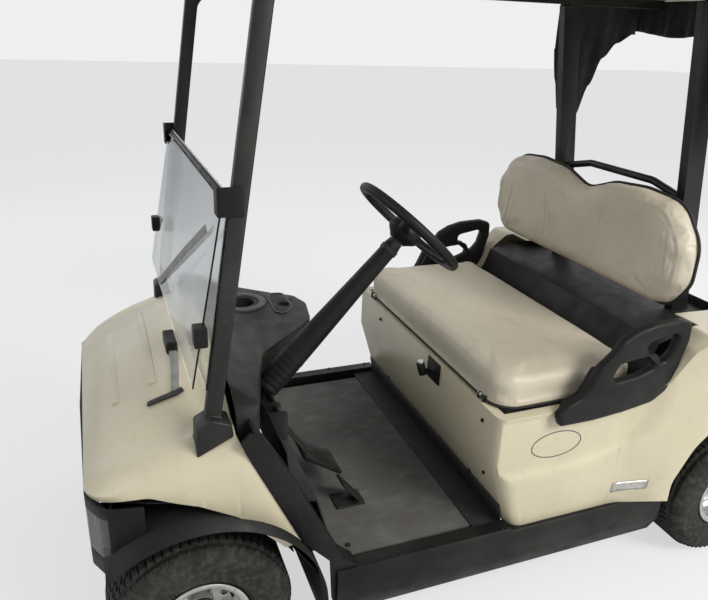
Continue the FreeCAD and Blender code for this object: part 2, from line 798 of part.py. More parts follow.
def rear_body():
    """Painted rear body: kick panel, sides and fenders in one shell, open for the seat and the bags."""
    shell = body_form(0).cut(body_form(wall))
    under = box(-700, 700, 600, 2600, 200, body_bottom_z + 0.5)
    seat_way = box(-seat_half - 18, seat_half + 18, seat_front + 14, 1250, 600, 700)
    seat_slope = box(-seat_half - 18, seat_half + 18, 1240, 1470, 600, 900)
    bag_way = box(-well_half, well_half, 1400, 2600, well_rim_z, 1000)
    bag_floor = box(-well_half, well_half, 1440, tail_s - 60, 700, 1000)
    shell = shell.cut(Part.makeCompound([arch_cut(), under]))
    tail_gap = box(-700, 700, wheelbase + arch_half - 10, 2600, 200, tail_low_z)
    return shell.cut(fused([seat_way, seat_slope, bag_way, bag_floor])).cut(tail_gap).removeSplitter()


def rear_liner():
    """Left rear wheelhouse, outside the rail and the bag well."""
    s = wheelbase
    # s, height
    line = [(s - 272, 300), (s - 262, 420), (s - 190, 545), (s, 572), (s + 190, 545), (s + 262, 420),
            (s + 270, 345)]
    arch = side_plate(band(line, 3), [0, 60, 90, 200, 90, 60, 0] * 2, well_half + 8, fender_half)
    return arch.common(body_form(wall + seat_rest))


def seat_tray():
    """Black tray behind the cushion, up to the bag well."""
    line = [(1240, 640), (1300, 640), (1352, 780), (1440, 800), (well_front, 800)]
    tray = side_plate(band(line, -wall), 0, -seat_half, seat_half)
    slot = box(strut_bar_x - strut_bar_w / 2 - 1, strut_bar_x + strut_bar_w / 2 + 1,
               strut_bar_s(798) - strut_bar_d / 2 - 3, strut_bar_s(798) + strut_bar_d / 2 + 3, 700, 900)
    return tray.cut(slot).cut(mirrored(slot))


def bag_well():
    """Open-topped well that the golf bags stand in."""
    back = tail_s - 10
    half = well_half - seat_rest
    outer = box(-half, half, well_front, back, well_floor_z, 900)
    inner = box(wall - half, half - wall, well_front + wall, back - wall, well_floor_z + wall, 901)
    tail = box(-well_half, well_half, back - wall - 1, back + 1, well_rim_z - 0.5, 901)
    return outer.cut(inner).cut(tail).common(body_form(-1))


def rear_bumper():
    """Wrap-around strip below the body's tail, on two stays from the frame."""
    low, top = tail_low_z - 80, tail_low_z - 0.3
    bar = plan_plate(both_sides([(556, tail_s - 70), (556, tail_s + 12), (430, tail_s + 40)]),
                     [0, 30, 60, 60, 30, 0], low, top)
    inner = plan_plate(both_sides([(550, tail_s - 80), (550, tail_s + 6), (424, tail_s + 34)]),
                       [0, 26, 56, 56, 26, 0], low - 1, top + 1)
    stay = box(rear_rail_x - 20, rear_rail_x + 20, rail_end_s + tail_bar, tail_s + 36, low + 30, low + 60)
    hitch_z = rail_z + rear_rail_lift - 10 - tow_plate
    slot = box(-tow_plate_w / 2 - 6, tow_plate_w / 2 + 6, tail_s, tail_s + 60, hitch_z - 8, hitch_z + 14)
    return fused([bar.cut(inner).cut(slot), stay, mirrored(stay)])


# Seats

def seat_cushion():
    outline = [(seat_front, hinge_z + seat_board - 4), (seat_front - 10, 735), (seat_front + 30, 757),
               (seat_back - 40, 748), (seat_back, 720), (seat_back, hinge_z + seat_board - 4)]
    return side_plate(outline, [4, 18, 30, 30, 25, 4], -seat_half, seat_half)


def seat_base():
    """Board under the cushion with the front hinge leaves."""
    top = hinge_z + seat_board - 4 - seat_rest
    parts = [box(-seat_half + 15, seat_half - 15, seat_front + 5, seat_back - 8, seat_deck_z + seat_rest, top)]
    for x in seat_hinge_places:
        tab = box(x - 10, x + 10, hinge_s, seat_front + 6, hinge_z - 5, hinge_z + 5)
        eye = rod((x - 10, hinge_s, hinge_z), (x + 10, hinge_s, hinge_z), 7.5)
        parts.append(tab.fuse(eye).cut(rod((x - 11, hinge_s, hinge_z), (x + 11, hinge_s, hinge_z),
                                           hinge_pin_r + axle_play)))
    return fused(parts)


def seat_hinges():
    """Hinge ears and pins on the kick panel's top edge."""
    parts = []
    for x in seat_hinge_places:
        pin = rod((x - 16, hinge_s, hinge_z), (x + 16, hinge_s, hinge_z), hinge_pin_r)
        ears = []
        for side in (x - 16, x + 11):
            post = box(side, side + 5, hinge_s - 7, hinge_s + 7, seat_deck_z, hinge_z)
            ears.append(post.fuse(rod((side, hinge_s, hinge_z), (side + 5, hinge_s, hinge_z), 7)))
        parts.append(fused([pin] + ears))
    return Part.makeCompound(parts)


def armrest():
    """Left hip restraint: a loop of plastic round a hand opening, with a grip bar across its inner side."""
    # s, height
    low = seat_deck_z + seat_rest
    outer = [(955, low), (985, 735), (1028, 806), (1105, 872), (1185, 900), (1300, 915), (1348, 895),
             (1346, 830), (1316, 695), (1262, low)]
    opening = [(1100, 690), (1104, 748), (1158, 842), (1288, 860), (1300, 800), (1272, 722)]
    loop = side_plate(outer, [8, 40, 40, 60, 60, 24, 22, 40, 50, 60], body_half - 28, body_half + 28)
    hole = side_plate(opening, [16, 40, 34, 24, 30, 26], body_half - 60, body_half + 60)
    grip = side_plate(band([(1150, 826), (1212, 802), (1256, 792), (1318, 730)], 22, True), 8,
                      body_half - 27, body_half - 3)
    return loop.cut(hole).fuse(grip).cut(body_form(-seat_rest)).removeSplitter()


def backrest_outline(inset):
    """Two-humped back as (x, z) points."""
    top = backrest_top - inset
    half = backrest_half - inset
    low = backrest_low + inset
    right = [(0, backrest_dip - inset), (120, top - 12), (backrest_hump_x, top), (410, top - 14), (half, top - 120),
             (half, low + 90), (half - 60, low)]
    radii = [90, 120, 300, 110, 110, 60, 60]
    return right + [(-x, z) for x, z in right[:0:-1]], radii + radii[:0:-1]


def backrest_cushion():
    outline, radii = backrest_outline(0)
    return cross_plate(outline, radii, backrest_front, backrest_front + backrest_pad)


def backrest_shell():
    """Black shell behind the pad, with the brackets that reach the roof struts."""
    outline, radii = backrest_outline(14)
    s0 = backrest_front + backrest_pad + seat_rest
    plate = cross_plate(outline, radii, s0, s0 + shell_wall)
    brackets = []
    for z in (900, 1080):
        reach = strut_bar_s(z + 40) - strut_bar_d / 2 * 1.01 - seat_rest
        brackets.append(box(strut_bar_x - 12, strut_bar_x + 12, s0 + shell_wall - 2, reach, z, z + 40))
    parts = [plate]
    for bracket in brackets:
        parts += [bracket, mirrored(bracket)]
    return fused(parts)


# Roof and its supports

def strut_bar_s(z):
    """Centre line of the rear roof struts at a height."""
    return 1465 + (1600 - z) * 0.1375


def rear_roof_frame():
    """Two roof struts, the arched bar between them and the roof rails they carry."""
    foot_z = rail_z + rear_rail_lift + rail_h
    line = [(strut_bar_s(foot_z), foot_z), (strut_bar_s(roof_under - 30), roof_under - 30)]
    half = strut_bar_w / 2
    strut = side_plate(band(line, strut_bar_d, True), 0, strut_bar_x - half, strut_bar_x + half)
    strut = strut.cut(box(0, 600, 1300, 1800, foot_z - 60, foot_z))
    top_rail = box(strut_bar_x - 15, strut_bar_x + 15, 260, 1850, roof_under - 30, roof_under)
    mid = strut_bar_s(1170)
    arch = [(-strut_bar_x, mid, 1150), (-150, mid, 1185), (150, mid, 1185), (strut_bar_x, mid, 1150)]
    bar = bent_bar(arch, 80, 12)
    low_bar = rod((-strut_bar_x, strut_bar_s(880), 880), (strut_bar_x, strut_bar_s(880), 880), 12)
    return fused([strut, mirrored(strut), top_rail, mirrored(top_rail), bar, low_bar])


def post_line(shift):
    """Side view line of the front posts, moved by shift along s."""
    return [(post_foot_s + shift, post_foot_z), (post_top_s + shift, post_top_z),
            (post_top_s + 62 + shift, roof_under - post_d / 2 - 0.3)]


def front_post():
    """Left front post, leaning back and turned in under the roof."""
    line = post_line(0) + [(430, roof_under - post_d / 2 - 0.3)]
    outline = band(line, post_d, True)
    post = side_plate(outline, [0, 40, 40, 0, 0, 40, 40, 0], post_x - post_w / 2, post_x + post_w / 2)
    low, high = 8 + seat_rest, 92 - seat_rest
    seat = [(low, notch_z(low) + seat_rest), (high, notch_z(high) + seat_rest)]
    foot = side_plate(seat + [(88, 764), (44, 782), (10, 762)], [0, 0, 12, 14, 10], 440 + seat_rest, 506)
    below = [(-200, 400), (-200, notch_z(-200))] + seat + [(200, notch_z(200)), (200, 400)]
    sunk = side_plate(below, 0, 400, 600)
    return fused([post.cut(sunk), foot])


def roof():
    """Closed, crowned roof moulding with rounded corners."""
    half = roof_half
    side = half + 25
    low = roof_under
    a, b = at(-side, roof_front - 50, low - 20), at(side, roof_front - 50, low - 20)
    c, d = at(side, roof_front - 50, low + roof_edge - 7), at(-side, roof_front - 50, low + roof_edge - 7)
    crown = at(0, roof_front - 50, low + roof_crown)
    edges = [Part.LineSegment(a, b).toShape(), Part.LineSegment(b, c).toShape(), Part.Arc(c, crown, d).toShape(),
             Part.LineSegment(d, a).toShape()]
    arch = Part.Face(Part.Wire(edges)).extrude(V(0, roof_back - roof_front + 100, 0))
    outline = both_sides([(half - 60, roof_front), (half, roof_front + 160), (half, roof_back - 160),
                          (half - 50, roof_back)])
    return arch.common(plan_plate(outline, [90, 150, 150, 90, 90, 150, 150, 90], low, low + 200))


def pane(top_s, top_z, low_s, low_z, half):
    """A flat acrylic pane between two lines across the cart."""
    return side_plate(band([(low_s, low_z), (top_s, top_z)], -glass), 0, -half, half)


def windshield_line(z):
    """Front face of the posts at a height."""
    lean = (post_top_s - post_foot_s) / (post_top_z - post_foot_z)
    off = (post_d / 2 + glass + seat_rest) / math.cos(math.atan(lean))
    return post_foot_s + (z - post_foot_z) * lean - off


def windshield_lower():
    return pane(windshield_line(fold_z), fold_z, windshield_line(glass_low_z), glass_low_z, glass_half)


def windshield_upper():
    """Upper half, folded down in front of the lower half."""
    return pane(windshield_line(fold_z) - 3 * glass, fold_z, windshield_line(850) - 30, 850, glass_half - 6)


def windshield_hinges():
    """Hinge strips where the halves meet and the clips that hold them to the posts."""
    s = windshield_line(fold_z)
    z = fold_z + math.sqrt((fold_strip_r + seat_rest) ** 2 - glass ** 2)
    strip = rod((-glass_half + 10, s - glass, z), (glass_half - 10, s - glass, z), fold_strip_r)
    outer = post_x + post_w / 2 + seat_rest
    clip = box(outer, outer + 4, s - 24, s + 30, fold_z - 32, fold_z + 30)
    front = box(glass_half - 30, outer + 4, s - 24, s - 20, fold_z - 32, fold_z + 30)
    bracket = clip.fuse(front)
    return Part.makeCompound([strip, bracket, mirrored(bracket)])


def rain_curtain():
    """Rolled rain cover: a valance along the roof's rear edge with a gathered drop at each strut."""
    rail = roof_under - seat_rest
    valance = box(-440, 440, 1855, 1880, 1618, rail)
    drop = side_plate([(1505, rail), (1858, rail), (1858, 1618), (1730, 1530), (1640, 1300), (1580, 1235),
                       (1560, 1330), (1505, 1560)], [0, 0, 60, 120, 90, 14, 60, 0], 422, 440)
    return fused([valance, drop, mirrored(drop)])


def shift_lever():
    """Direction lever on its plate on the kick panel."""
    face = kick_top_s
    plate = box(95, 175, face - 4, face, 570, 640)
    stem = rod((135, face - 3.9, 600), (135, face - 42, 616), 6)
    knob = rod((135, face - 40, 600), (135, face - 52, 640), 13)
    return fused([plate, stem, knob])


shapes = {
    "front_rails": front_rails(),
    "rear_rails": rear_rails(),
    "crossmembers": crossmembers(),
    "front_suspension": front_suspension(),
    "rear_axle": rear_axle(),
    "rear_springs": rear_springs(),
    "engine_block": engine_block(),
    "floor_pan": floor_pan(),
    "floor_mat": floor_mat(),
    "front_cowl": front_cowl(),
    "front_bumper": front_bumper(),
    "dashboard": dashboard(),
    "steering_column": steering_column(),
    "steering_wheel": steering_wheel(),
    "steering_rack": steering_rack(),
    "brake_pedal": brake_pedal(),
    "accelerator_pedal": accelerator_pedal(),
    "rear_body": rear_body(),
    "seat_tray": seat_tray(),
    "bag_well": bag_well(),
    "rear_bumper": rear_bumper(),
    "seat_cushion": seat_cushion(),
    "seat_base": seat_base(),
    "seat_hinges": seat_hinges(),
    "backrest_cushion": backrest_cushion(),
    "backrest_shell": backrest_shell(),
    "rear_roof_frame": rear_roof_frame(),
    "roof": roof(),
    "windshield_lower": windshield_lower(),
    "windshield_upper": windshield_upper(),
    "windshield_hinges": windshield_hinges(),
    "rain_curtain": rain_curtain(),
    "shift_lever": shift_lever(),
}
# Pieces made for the left side and mirrored for the right
for name, shape in {"knuckle": knuckle(), "rocker": rocker(), "wheel_liner": wheel_liner(),
                    "rear_liner": rear_liner(), "headlamp": headlamp(), "armrest": armrest(),
                    "front_post": front_post(),
                    "front_tyre": tyre(front_track / 2, 0), "front_wheel": wheel(front_track / 2, 0),
                    "rear_tyre": tyre(rear_track / 2, wheelbase),
                    "rear_wheel": wheel(rear_track / 2, wheelbase)}.items():
    shapes[name + "_left"] = shape
    shapes[name + "_right"] = mirrored(shape)

os.makedirs("parts", exist_ok=True)
for name, shape in shapes.items():
    shape.exportStep("parts/" + name + ".step")
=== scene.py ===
import bmesh
import bpy
import json
import math
from mathutils import Matrix, Vector, kdtree
from mathutils.bvhtree import BVHTree


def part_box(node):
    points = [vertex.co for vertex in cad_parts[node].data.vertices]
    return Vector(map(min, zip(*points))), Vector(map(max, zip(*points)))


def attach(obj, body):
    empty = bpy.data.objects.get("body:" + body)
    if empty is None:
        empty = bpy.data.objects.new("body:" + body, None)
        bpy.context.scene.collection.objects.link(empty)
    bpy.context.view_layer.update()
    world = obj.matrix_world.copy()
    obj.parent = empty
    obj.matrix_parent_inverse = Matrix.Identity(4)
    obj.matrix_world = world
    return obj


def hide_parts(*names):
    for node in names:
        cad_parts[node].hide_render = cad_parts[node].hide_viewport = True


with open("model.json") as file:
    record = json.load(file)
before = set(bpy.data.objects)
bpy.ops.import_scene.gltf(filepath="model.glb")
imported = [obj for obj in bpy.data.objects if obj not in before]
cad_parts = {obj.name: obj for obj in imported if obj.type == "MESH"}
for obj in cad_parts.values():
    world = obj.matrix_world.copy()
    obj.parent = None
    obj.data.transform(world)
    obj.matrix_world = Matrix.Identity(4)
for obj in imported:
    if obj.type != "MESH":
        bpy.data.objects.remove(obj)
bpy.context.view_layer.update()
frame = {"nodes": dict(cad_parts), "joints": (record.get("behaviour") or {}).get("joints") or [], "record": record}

# Places are written as (x, s, z) in metres: across, behind the front axle, above the floor.
JOINTS = {joint["name"]: joint for joint in frame["joints"]}
AXLE_Y = JOINTS["knuckle_left_turn"]["pos_m"][1]

# Camera
CAMERA_PLACE = (1.812, -0.143, 1.600)
CAMERA_AZIMUTH = 68.494
CAMERA_DROP = 21.865
CAMERA_ROLL = 2.131
CAMERA_LENS = 34.28
SENSOR = 36.0


def at(x, s, z):
    return Vector((x, AXLE_Y + s, z))


# Nodes

def wire(tree, kind, links, **settings):
    """A node with its inputs linked or set."""
    made = tree.nodes.new(kind)
    for key, value in settings.items():
        setattr(made, key, value)
    for key, value in links.items():
        if isinstance(value, bpy.types.NodeSocket):
            tree.links.new(value, made.inputs[key])
        else:
            made.inputs[key].default_value = value
    return made


def reckoned(tree, operation, *values):
    """The result of a maths node."""
    return wire(tree, "ShaderNodeMath", dict(enumerate(values)), operation=operation).outputs[0]


# Materials

class Finish:
    """One material, with the few node calls that the finishes share."""

    def __init__(self, name, sockets):
        self.material = bpy.data.materials.new(name)
        self.material.use_nodes = True
        self.tree = self.material.node_tree
        self.shader = self.tree.nodes["Principled BSDF"]
        self.place = self.node("ShaderNodeTexCoord").outputs["Object"]
        self.normal = None
        for socket, value in sockets.items():
            self.shader.inputs[socket].default_value = value

    def node(self, kind, inputs=None, **settings):
        return wire(self.tree, kind, inputs or {}, **settings)

    def stretched(self, factors):
        """Object coordinates stretched by a factor along each axis."""
        return self.node("ShaderNodeMapping", {"Vector": self.place, "Scale": factors}).outputs["Vector"]

    def noise(self, scale, detail=3.0, stretch=None):
        place = self.stretched(stretch) if stretch else self.place
        made = self.node("ShaderNodeTexNoise", {"Vector": place, "Scale": scale, "Detail": detail})
        return made.outputs["Fac"]

    def cells(self, scale):
        return self.node("ShaderNodeTexVoronoi", {"Vector": self.place, "Scale": scale}).outputs["Distance"]

    def waves(self, scale, direction):
        inputs = {"Vector": self.place, "Scale": scale}
        made = self.node("ShaderNodeTexWave", inputs, bands_direction=direction)
        return made.outputs["Fac"]

    def ramp(self, source, low, high, to_low=0.0, to_high=1.0):
        inputs = {"Value": source, "From Min": low, "From Max": high, "To Min": to_low, "To Max": to_high}
        return self.node("ShaderNodeMapRange", inputs).outputs["Result"]

    def times(self, a, b):
        return reckoned(self.tree, "MULTIPLY", a, b)

    def height(self):
        return self.node("ShaderNodeSeparateXYZ", {"Vector": self.place}).outputs["Z"]

    def blend(self, factor, a, b):
        """Colour a, turning to colour b as factor goes to 1."""
        made = self.node("ShaderNodeMix", {0: factor, 6: a, 7: b}, data_type="RGBA")
        return made.outputs[2]

    def mottled(self, a, b, scale, detail, low, high, amount=1.0, stretch=None):
        """Colour a with patches of colour b, which grow from nothing at low to amount at high."""
        return self.blend(self.ramp(self.noise(scale, detail, stretch), low, high, 0.0, amount), a, b)

    def colour(self, socket):
        self.tree.links.new(socket, self.shader.inputs["Base Color"])

    def roughness(self, source, low, high):
        self.tree.links.new(self.ramp(source, 0.3, 0.7, low, high), self.shader.inputs["Roughness"])

    def bump(self, height, strength, distance):
        inputs = {"Height": height, "Strength": strength, "Distance": distance}
        if self.normal is not None:
            inputs["Normal"] = self.normal
        self.normal = self.node("ShaderNodeBump", inputs).outputs["Normal"]
        self.tree.links.new(self.normal, self.shader.inputs["Normal"])


def tone(colour, factor):
    return (colour[0] * factor, colour[1] * factor, colour[2] * factor, 1.0)


DUST = (0.20, 0.18, 0.145, 1.0)
GRIME = (0.09, 0.075, 0.055, 1.0)


def dusted(finish, clean, amount, top=0.6):
    """Clean colour with dust that thickens towards the floor."""
    low = finish.ramp(finish.height(), 0.05, top, 1.0, 0.15)
    patches = finish.ramp(finish.noise(7.0, 6.0), 0.42, 0.72)
    return finish.blend(finish.times(finish.times(low, patches), amount), clean, DUST)


def body_paint():
    """Moulded-in beige of the cowl and the rear body, dulled by the sun."""
    finish = Finish("body_paint", {"Coat Weight": 0.25, "Coat Roughness": 0.25, "Specular IOR Level": 0.45})
    beige = (0.545, 0.490, 0.350)
    faded = finish.mottled(tone(beige, 1.04), tone(beige, 0.93), 2.2, 5.0, 0.35, 0.65)
    stained = finish.mottled(faded, (0.38, 0.33, 0.22, 1), 26.0, 6.0, 0.60, 0.80, 0.35)
    rubbed = finish.mottled(stained, (0.47, 0.42, 0.30, 1), 30.0, 4.0, 0.58, 0.75, 0.22, (1.0, 1.0, 0.12))
    finish.colour(dusted(finish, rubbed, 0.35, 0.55))
    finish.roughness(finish.noise(9.0, 4.0), 0.30, 0.46)
    finish.bump(finish.noise(380.0, 2.0), 0.05, 0.0004)
    finish.bump(finish.noise(4.0, 2.0), 0.12, 0.004)
    return finish.material


def roof_plastic():
    """Stone coloured roof moulding with a fine grain."""
    finish = Finish("roof_plastic", {"Coat Weight": 0.1, "Coat Roughness": 0.4})
    stone = (0.56, 0.52, 0.41)
    faded = finish.mottled(tone(stone, 1.03), tone(stone, 0.9), 1.8, 5.0, 0.35, 0.65)
    finish.colour(finish.mottled(faded, (0.36, 0.31, 0.21, 1), 18.0, 6.0, 0.56, 0.78, 0.3))
    finish.roughness(finish.noise(9.0), 0.42, 0.58)
    finish.bump(finish.noise(260.0, 2.0), 0.12, 0.0006)
    return finish.material


def grained_plastic(name, dark, faded, roughness, amount):
    """Grained black or grey moulding, faded in patches and rubbed light on its raised grain."""
    finish = Finish(name, {"Specular IOR Level": 0.2})
    colour = finish.mottled(dark, faded, 4.0, 6.0, 0.42, 0.70)
    colour = finish.mottled(colour, faded, 60.0, 5.0, 0.60, 0.80, 0.5, (1.0, 0.3, 1.0))
    finish.colour(dusted(finish, colour, amount))
    finish.roughness(finish.noise(20.0, 4.0), roughness - 0.08, roughness + 0.1)
    finish.bump(finish.cells(520.0), 0.30, 0.0005)
    finish.bump(finish.noise(110.0, 4.0), 0.12, 0.0006)
    return finish.material


def mat_rubber():
    """Grey rubber floor mat, scuffed pale along the feet's path."""
    finish = Finish("mat_rubber", {"Specular IOR Level": 0.3})
    base = finish.mottled((0.082, 0.082, 0.078, 1), (0.112, 0.112, 0.106, 1), 3.0, 6.0, 0.40, 0.62)
    base = finish.mottled(base, (0.19, 0.185, 0.17, 1), 22.0, 10.0, 0.50, 0.72, 0.55, (1.0, 0.5, 1.0))
    finish.colour(finish.mottled(base, (0.085, 0.07, 0.045, 1), 9.0, 10.0, 0.54, 0.74, 0.45))
    finish.roughness(finish.noise(12.0), 0.62, 0.85)
    finish.bump(finish.cells(260.0), 0.45, 0.0008)
    finish.bump(finish.noise(40.0, 6.0), 0.2, 0.001)
    return finish.material


def seat_vinyl():
    """Beige vinyl with a leather grain, grubby where people sit."""
    finish = Finish("seat_vinyl", {"Specular IOR Level": 0.42, "Coat Weight": 0.06, "Coat Roughness": 0.4})
    beige = (0.545, 0.490, 0.385)
    base = finish.mottled(tone(beige, 1.03), tone(beige, 0.88), 3.5, 5.0, 0.35, 0.65)
    base = finish.mottled(base, (0.36, 0.31, 0.22, 1), 14.0, 8.0, 0.56, 0.80, 0.45)
    finish.colour(finish.mottled(base, (0.30, 0.26, 0.19, 1), 120.0, 4.0, 0.62, 0.80, 0.35))
    finish.roughness(finish.noise(10.0, 4.0), 0.38, 0.55)
    finish.bump(finish.cells(340.0), 0.22, 0.0005)
    finish.bump(finish.noise(55.0, 4.0), 0.16, 0.0012)
    return finish.material


def black_steel():
    """Black powder coat with dull chips."""
    finish = Finish("black_steel", {"Specular IOR Level": 0.25, "Coat Weight": 0.04})
    base = finish.mottled((0.008, 0.008, 0.008, 1), (0.018, 0.018, 0.017, 1), 6.0, 5.0, 0.4, 0.7)
    base = finish.mottled(base, (0.050, 0.040, 0.032, 1), 45.0, 8.0, 0.68, 0.74, 0.5)
    finish.colour(dusted(finish, base, 0.25))
    finish.roughness(finish.noise(14.0, 5.0), 0.34, 0.58)
    finish.bump(finish.noise(300.0, 3.0), 0.10, 0.0004)
    return finish.material


def bare_metal(name, colour, roughness, spots):
    """Plated or cast metal with dull spots."""
    finish = Finish(name, {"Metallic": 0.9})
    base = finish.mottled(tone(colour, 1.0), tone(colour, 0.72), 18.0, 6.0, 0.40, 0.70)
    spotted = finish.mottled(base, GRIME, 70.0, 8.0, 0.60, 0.72, spots)
    finish.colour(dusted(finish, spotted, 0.4))
    finish.roughness(finish.noise(30.0, 5.0), roughness - 0.08, roughness + 0.15)
    finish.bump(finish.noise(140.0, 4.0), 0.08, 0.0005)
    return finish.material


def tyre_rubber():
    """Weathered tyre rubber with dry dust in its low places."""
    finish = Finish("tyre_rubber", {"Specular IOR Level": 0.15})
    base = finish.mottled((0.018, 0.018, 0.017, 1), (0.032, 0.031, 0.029, 1), 9.0, 6.0, 0.38, 0.68)
    dust = (0.115, 0.106, 0.090, 1)
    finish.colour(finish.mottled(base, dust, 60.0, 9.0, 0.44, 0.76, 0.40, (0.4, 1.0, 1.0)))
    finish.roughness(finish.noise(20.0), 0.66, 0.88)
    finish.bump(finish.noise(150.0, 6.0), 0.25, 0.0008)
    finish.bump(finish.cells(90.0), 0.10, 0.0008)
    return finish.material


def acrylic():
    """Clear windshield sheet, hazed by wiping."""
    finish = Finish("acrylic", {"Transmission Weight": 1.0, "IOR": 1.25, "Base Color": (0.93, 0.95, 0.95, 1)})
    finish.roughness(finish.noise(6.0, 6.0, (1.0, 1.0, 0.4)), 0.0, 0.10)
    finish.bump(finish.noise(60.0, 5.0, (1.0, 1.0, 0.15)), 0.02, 0.0005)
    return finish.material


def lamp_lens():
    """Smoked lens with fine vertical fluting."""
    smoked = (0.20, 0.21, 0.21, 1)
    finish = Finish("lamp_lens", {"Transmission Weight": 0.85, "IOR": 1.45, "Base Color": smoked})
    finish.roughness(finish.noise(25.0, 4.0), 0.10, 0.25)
    finish.bump(finish.waves(28.0, "X"), 0.25, 0.002)
    return finish.material


def cover_cloth():
    """Black coated weave of the rain cover."""
    finish = Finish("cover_cloth", {"Sheen Weight": 0.25, "Sheen Roughness": 0.5, "Specular IOR Level": 0.25})
    base = finish.mottled((0.006, 0.006, 0.007, 1), (0.014, 0.014, 0.013, 1), 5.0, 5.0, 0.4, 0.7)
    finish.colour(finish.mottled(base, (0.06, 0.055, 0.045, 1), 40.0, 6.0, 0.55, 0.75, 0.4))
    finish.roughness(finish.noise(30.0), 0.72, 0.9)
    finish.bump(finish.waves(210.0, "Z"), 0.3, 0.0004)
    finish.bump(finish.waves(210.0, "Y"), 0.3, 0.0004)
    return finish.material


def plain_trim(name, colour, roughness):
    """Small bare trim with a slight mottle."""
    finish = Finish(name, {"Specular IOR Level": 0.4})
    finish.colour(finish.mottled(tone(colour, 1.0), tone(colour, 0.75), 30.0, 4.0, 0.4, 0.7))
    finish.roughness(finish.noise(40.0), roughness - 0.05, roughness + 0.08)
    finish.bump(finish.noise(240.0, 2.0), 0.06, 0.0004)
    return finish.material


M = {
    "body": body_paint(),
    "roof": roof_plastic(),
    "black": grained_plastic("black_plastic", (0.005, 0.005, 0.005, 1), (0.012, 0.012, 0.0115, 1),
                             0.48, 0.08),
    "dash": grained_plastic("dash_plastic", (0.016, 0.016, 0.0155, 1), (0.036, 0.036, 0.034, 1),
                            0.52, 0.12),
    "mat": mat_rubber(),
    "vinyl": seat_vinyl(),
    "steel": black_steel(),
    "spring": bare_metal("spring_steel", (0.10, 0.10, 0.10), 0.45, 0.6),
    "engine": bare_metal("engine_grey", (0.20, 0.20, 0.20), 0.55, 0.7),
    "zinc": bare_metal("zinc_plate", (0.52, 0.51, 0.48), 0.36, 0.5),
    "silver": bare_metal("wheel_silver", (0.56, 0.56, 0.54), 0.38, 0.5),
    "tyre": tyre_rubber(),
    "acrylic": acrylic(),
    "lens": lamp_lens(),
    "cloth": cover_cloth(),
    "rubber": plain_trim("edge_rubber", (0.018, 0.018, 0.018), 0.7),
    "decal": plain_trim("decal_line", (0.13, 0.13, 0.13), 0.5),
    "dash_rim": plain_trim("dash_rim", (0.085, 0.085, 0.082), 0.5),
    # Grey of the real strap across the pane, also used for the painted shadow strap on the hood
    "strap_grey_and_painted_shadow": plain_trim("grey_strap_and_painted_shadow", (0.23, 0.23, 0.22), 0.7),
}

SLOT_FINISH = {
    "frame_paint": "steel", "spring_steel": "spring", "engine_grey": "engine", "body_paint": "body",
    "black_plastic": "black", "dash_plastic": "dash", "mat_rubber": "mat", "seat_vinyl": "vinyl",
    "roof_plastic": "roof", "acrylic": "acrylic", "lamp_lens": "lens", "cover_cloth": "cloth",
    "tyre_rubber": "tyre", "wheel_silver": "silver",
}
NODE_SLOT = {row["node"]: row["material_slot"] for row in frame["record"]["subparts"]}
NODE_BODY = {node: body for body, nodes in frame["record"]["behaviour"]["bodies"].items() for node in nodes}


def finish_of(node):
    return M[SLOT_FINISH[NODE_SLOT[node]]]


def wear_cad_finishes():
    """Every carried-over CAD piece gets the finish of its slot."""
    for node, piece in frame["nodes"].items():
        coat(piece.data, finish_of(node))


# Shapes

def placed(name, data):
    """A new object in the scene."""
    piece = bpy.data.objects.new(name, data)
    bpy.context.scene.collection.objects.link(piece)
    return piece


def coat(mesh, material):
    """Gives a mesh this material alone."""
    mesh.materials.clear()
    mesh.materials.append(material)


def turn_outwards(mesh, gap):
    """Merges the mesh's doubles and turns its faces outwards."""
    tidy = bmesh.new()
    tidy.from_mesh(mesh)
    bmesh.ops.remove_doubles(tidy, verts=tidy.verts, dist=gap)
    bmesh.ops.recalc_face_normals(tidy, faces=tidy.faces)
    tidy.to_mesh(mesh)
    tidy.free()


def circle(count):
    """Even points round a unit circle, as (cosine, sine)."""
    angles = [2 * math.pi * i / count for i in range(count)]
    return [(math.cos(angle), math.sin(angle)) for angle in angles]


def mesh_piece(name, vertices, faces, material):
    """A smooth-shaded object from vertices and faces, its normals outwards."""
    mesh = bpy.data.meshes.new(name)
    mesh.from_pydata([tuple(v) for v in vertices], [], faces)
    turn_outwards(mesh, 1e-6)
    mesh.materials.append(material)
    piece = placed(name, mesh)
    smooth(piece, 35)
    return piece


def smooth(piece, angle):
    piece.data.polygons.foreach_set("use_smooth", [True] * len(piece.data.polygons))
    piece.data.set_sharp_from_angle(angle=math.radians(angle))


def rings_to_mesh(rings, closed_ring=True, caps=True, closed_run=False):
    """Vertices and faces of a skin over rings of equal length."""
    count = len(rings[0])
    vertices = [point for ring in rings for point in ring]
    faces = []
    runs = len(rings) if closed_run else len(rings) - 1
    for i in range(runs):
        a = i * count
        b = ((i + 1) % len(rings)) * count
        for j in range(count if closed_ring else count - 1):
            k = (j + 1) % count
            faces.append((a + j, a + k, b + k, b + j))
    if caps and not closed_run and closed_ring:
        faces.append(tuple(range(count))[::-1])
        faces.append(tuple((len(rings) - 1) * count + j for j in range(count)))
    return vertices, faces


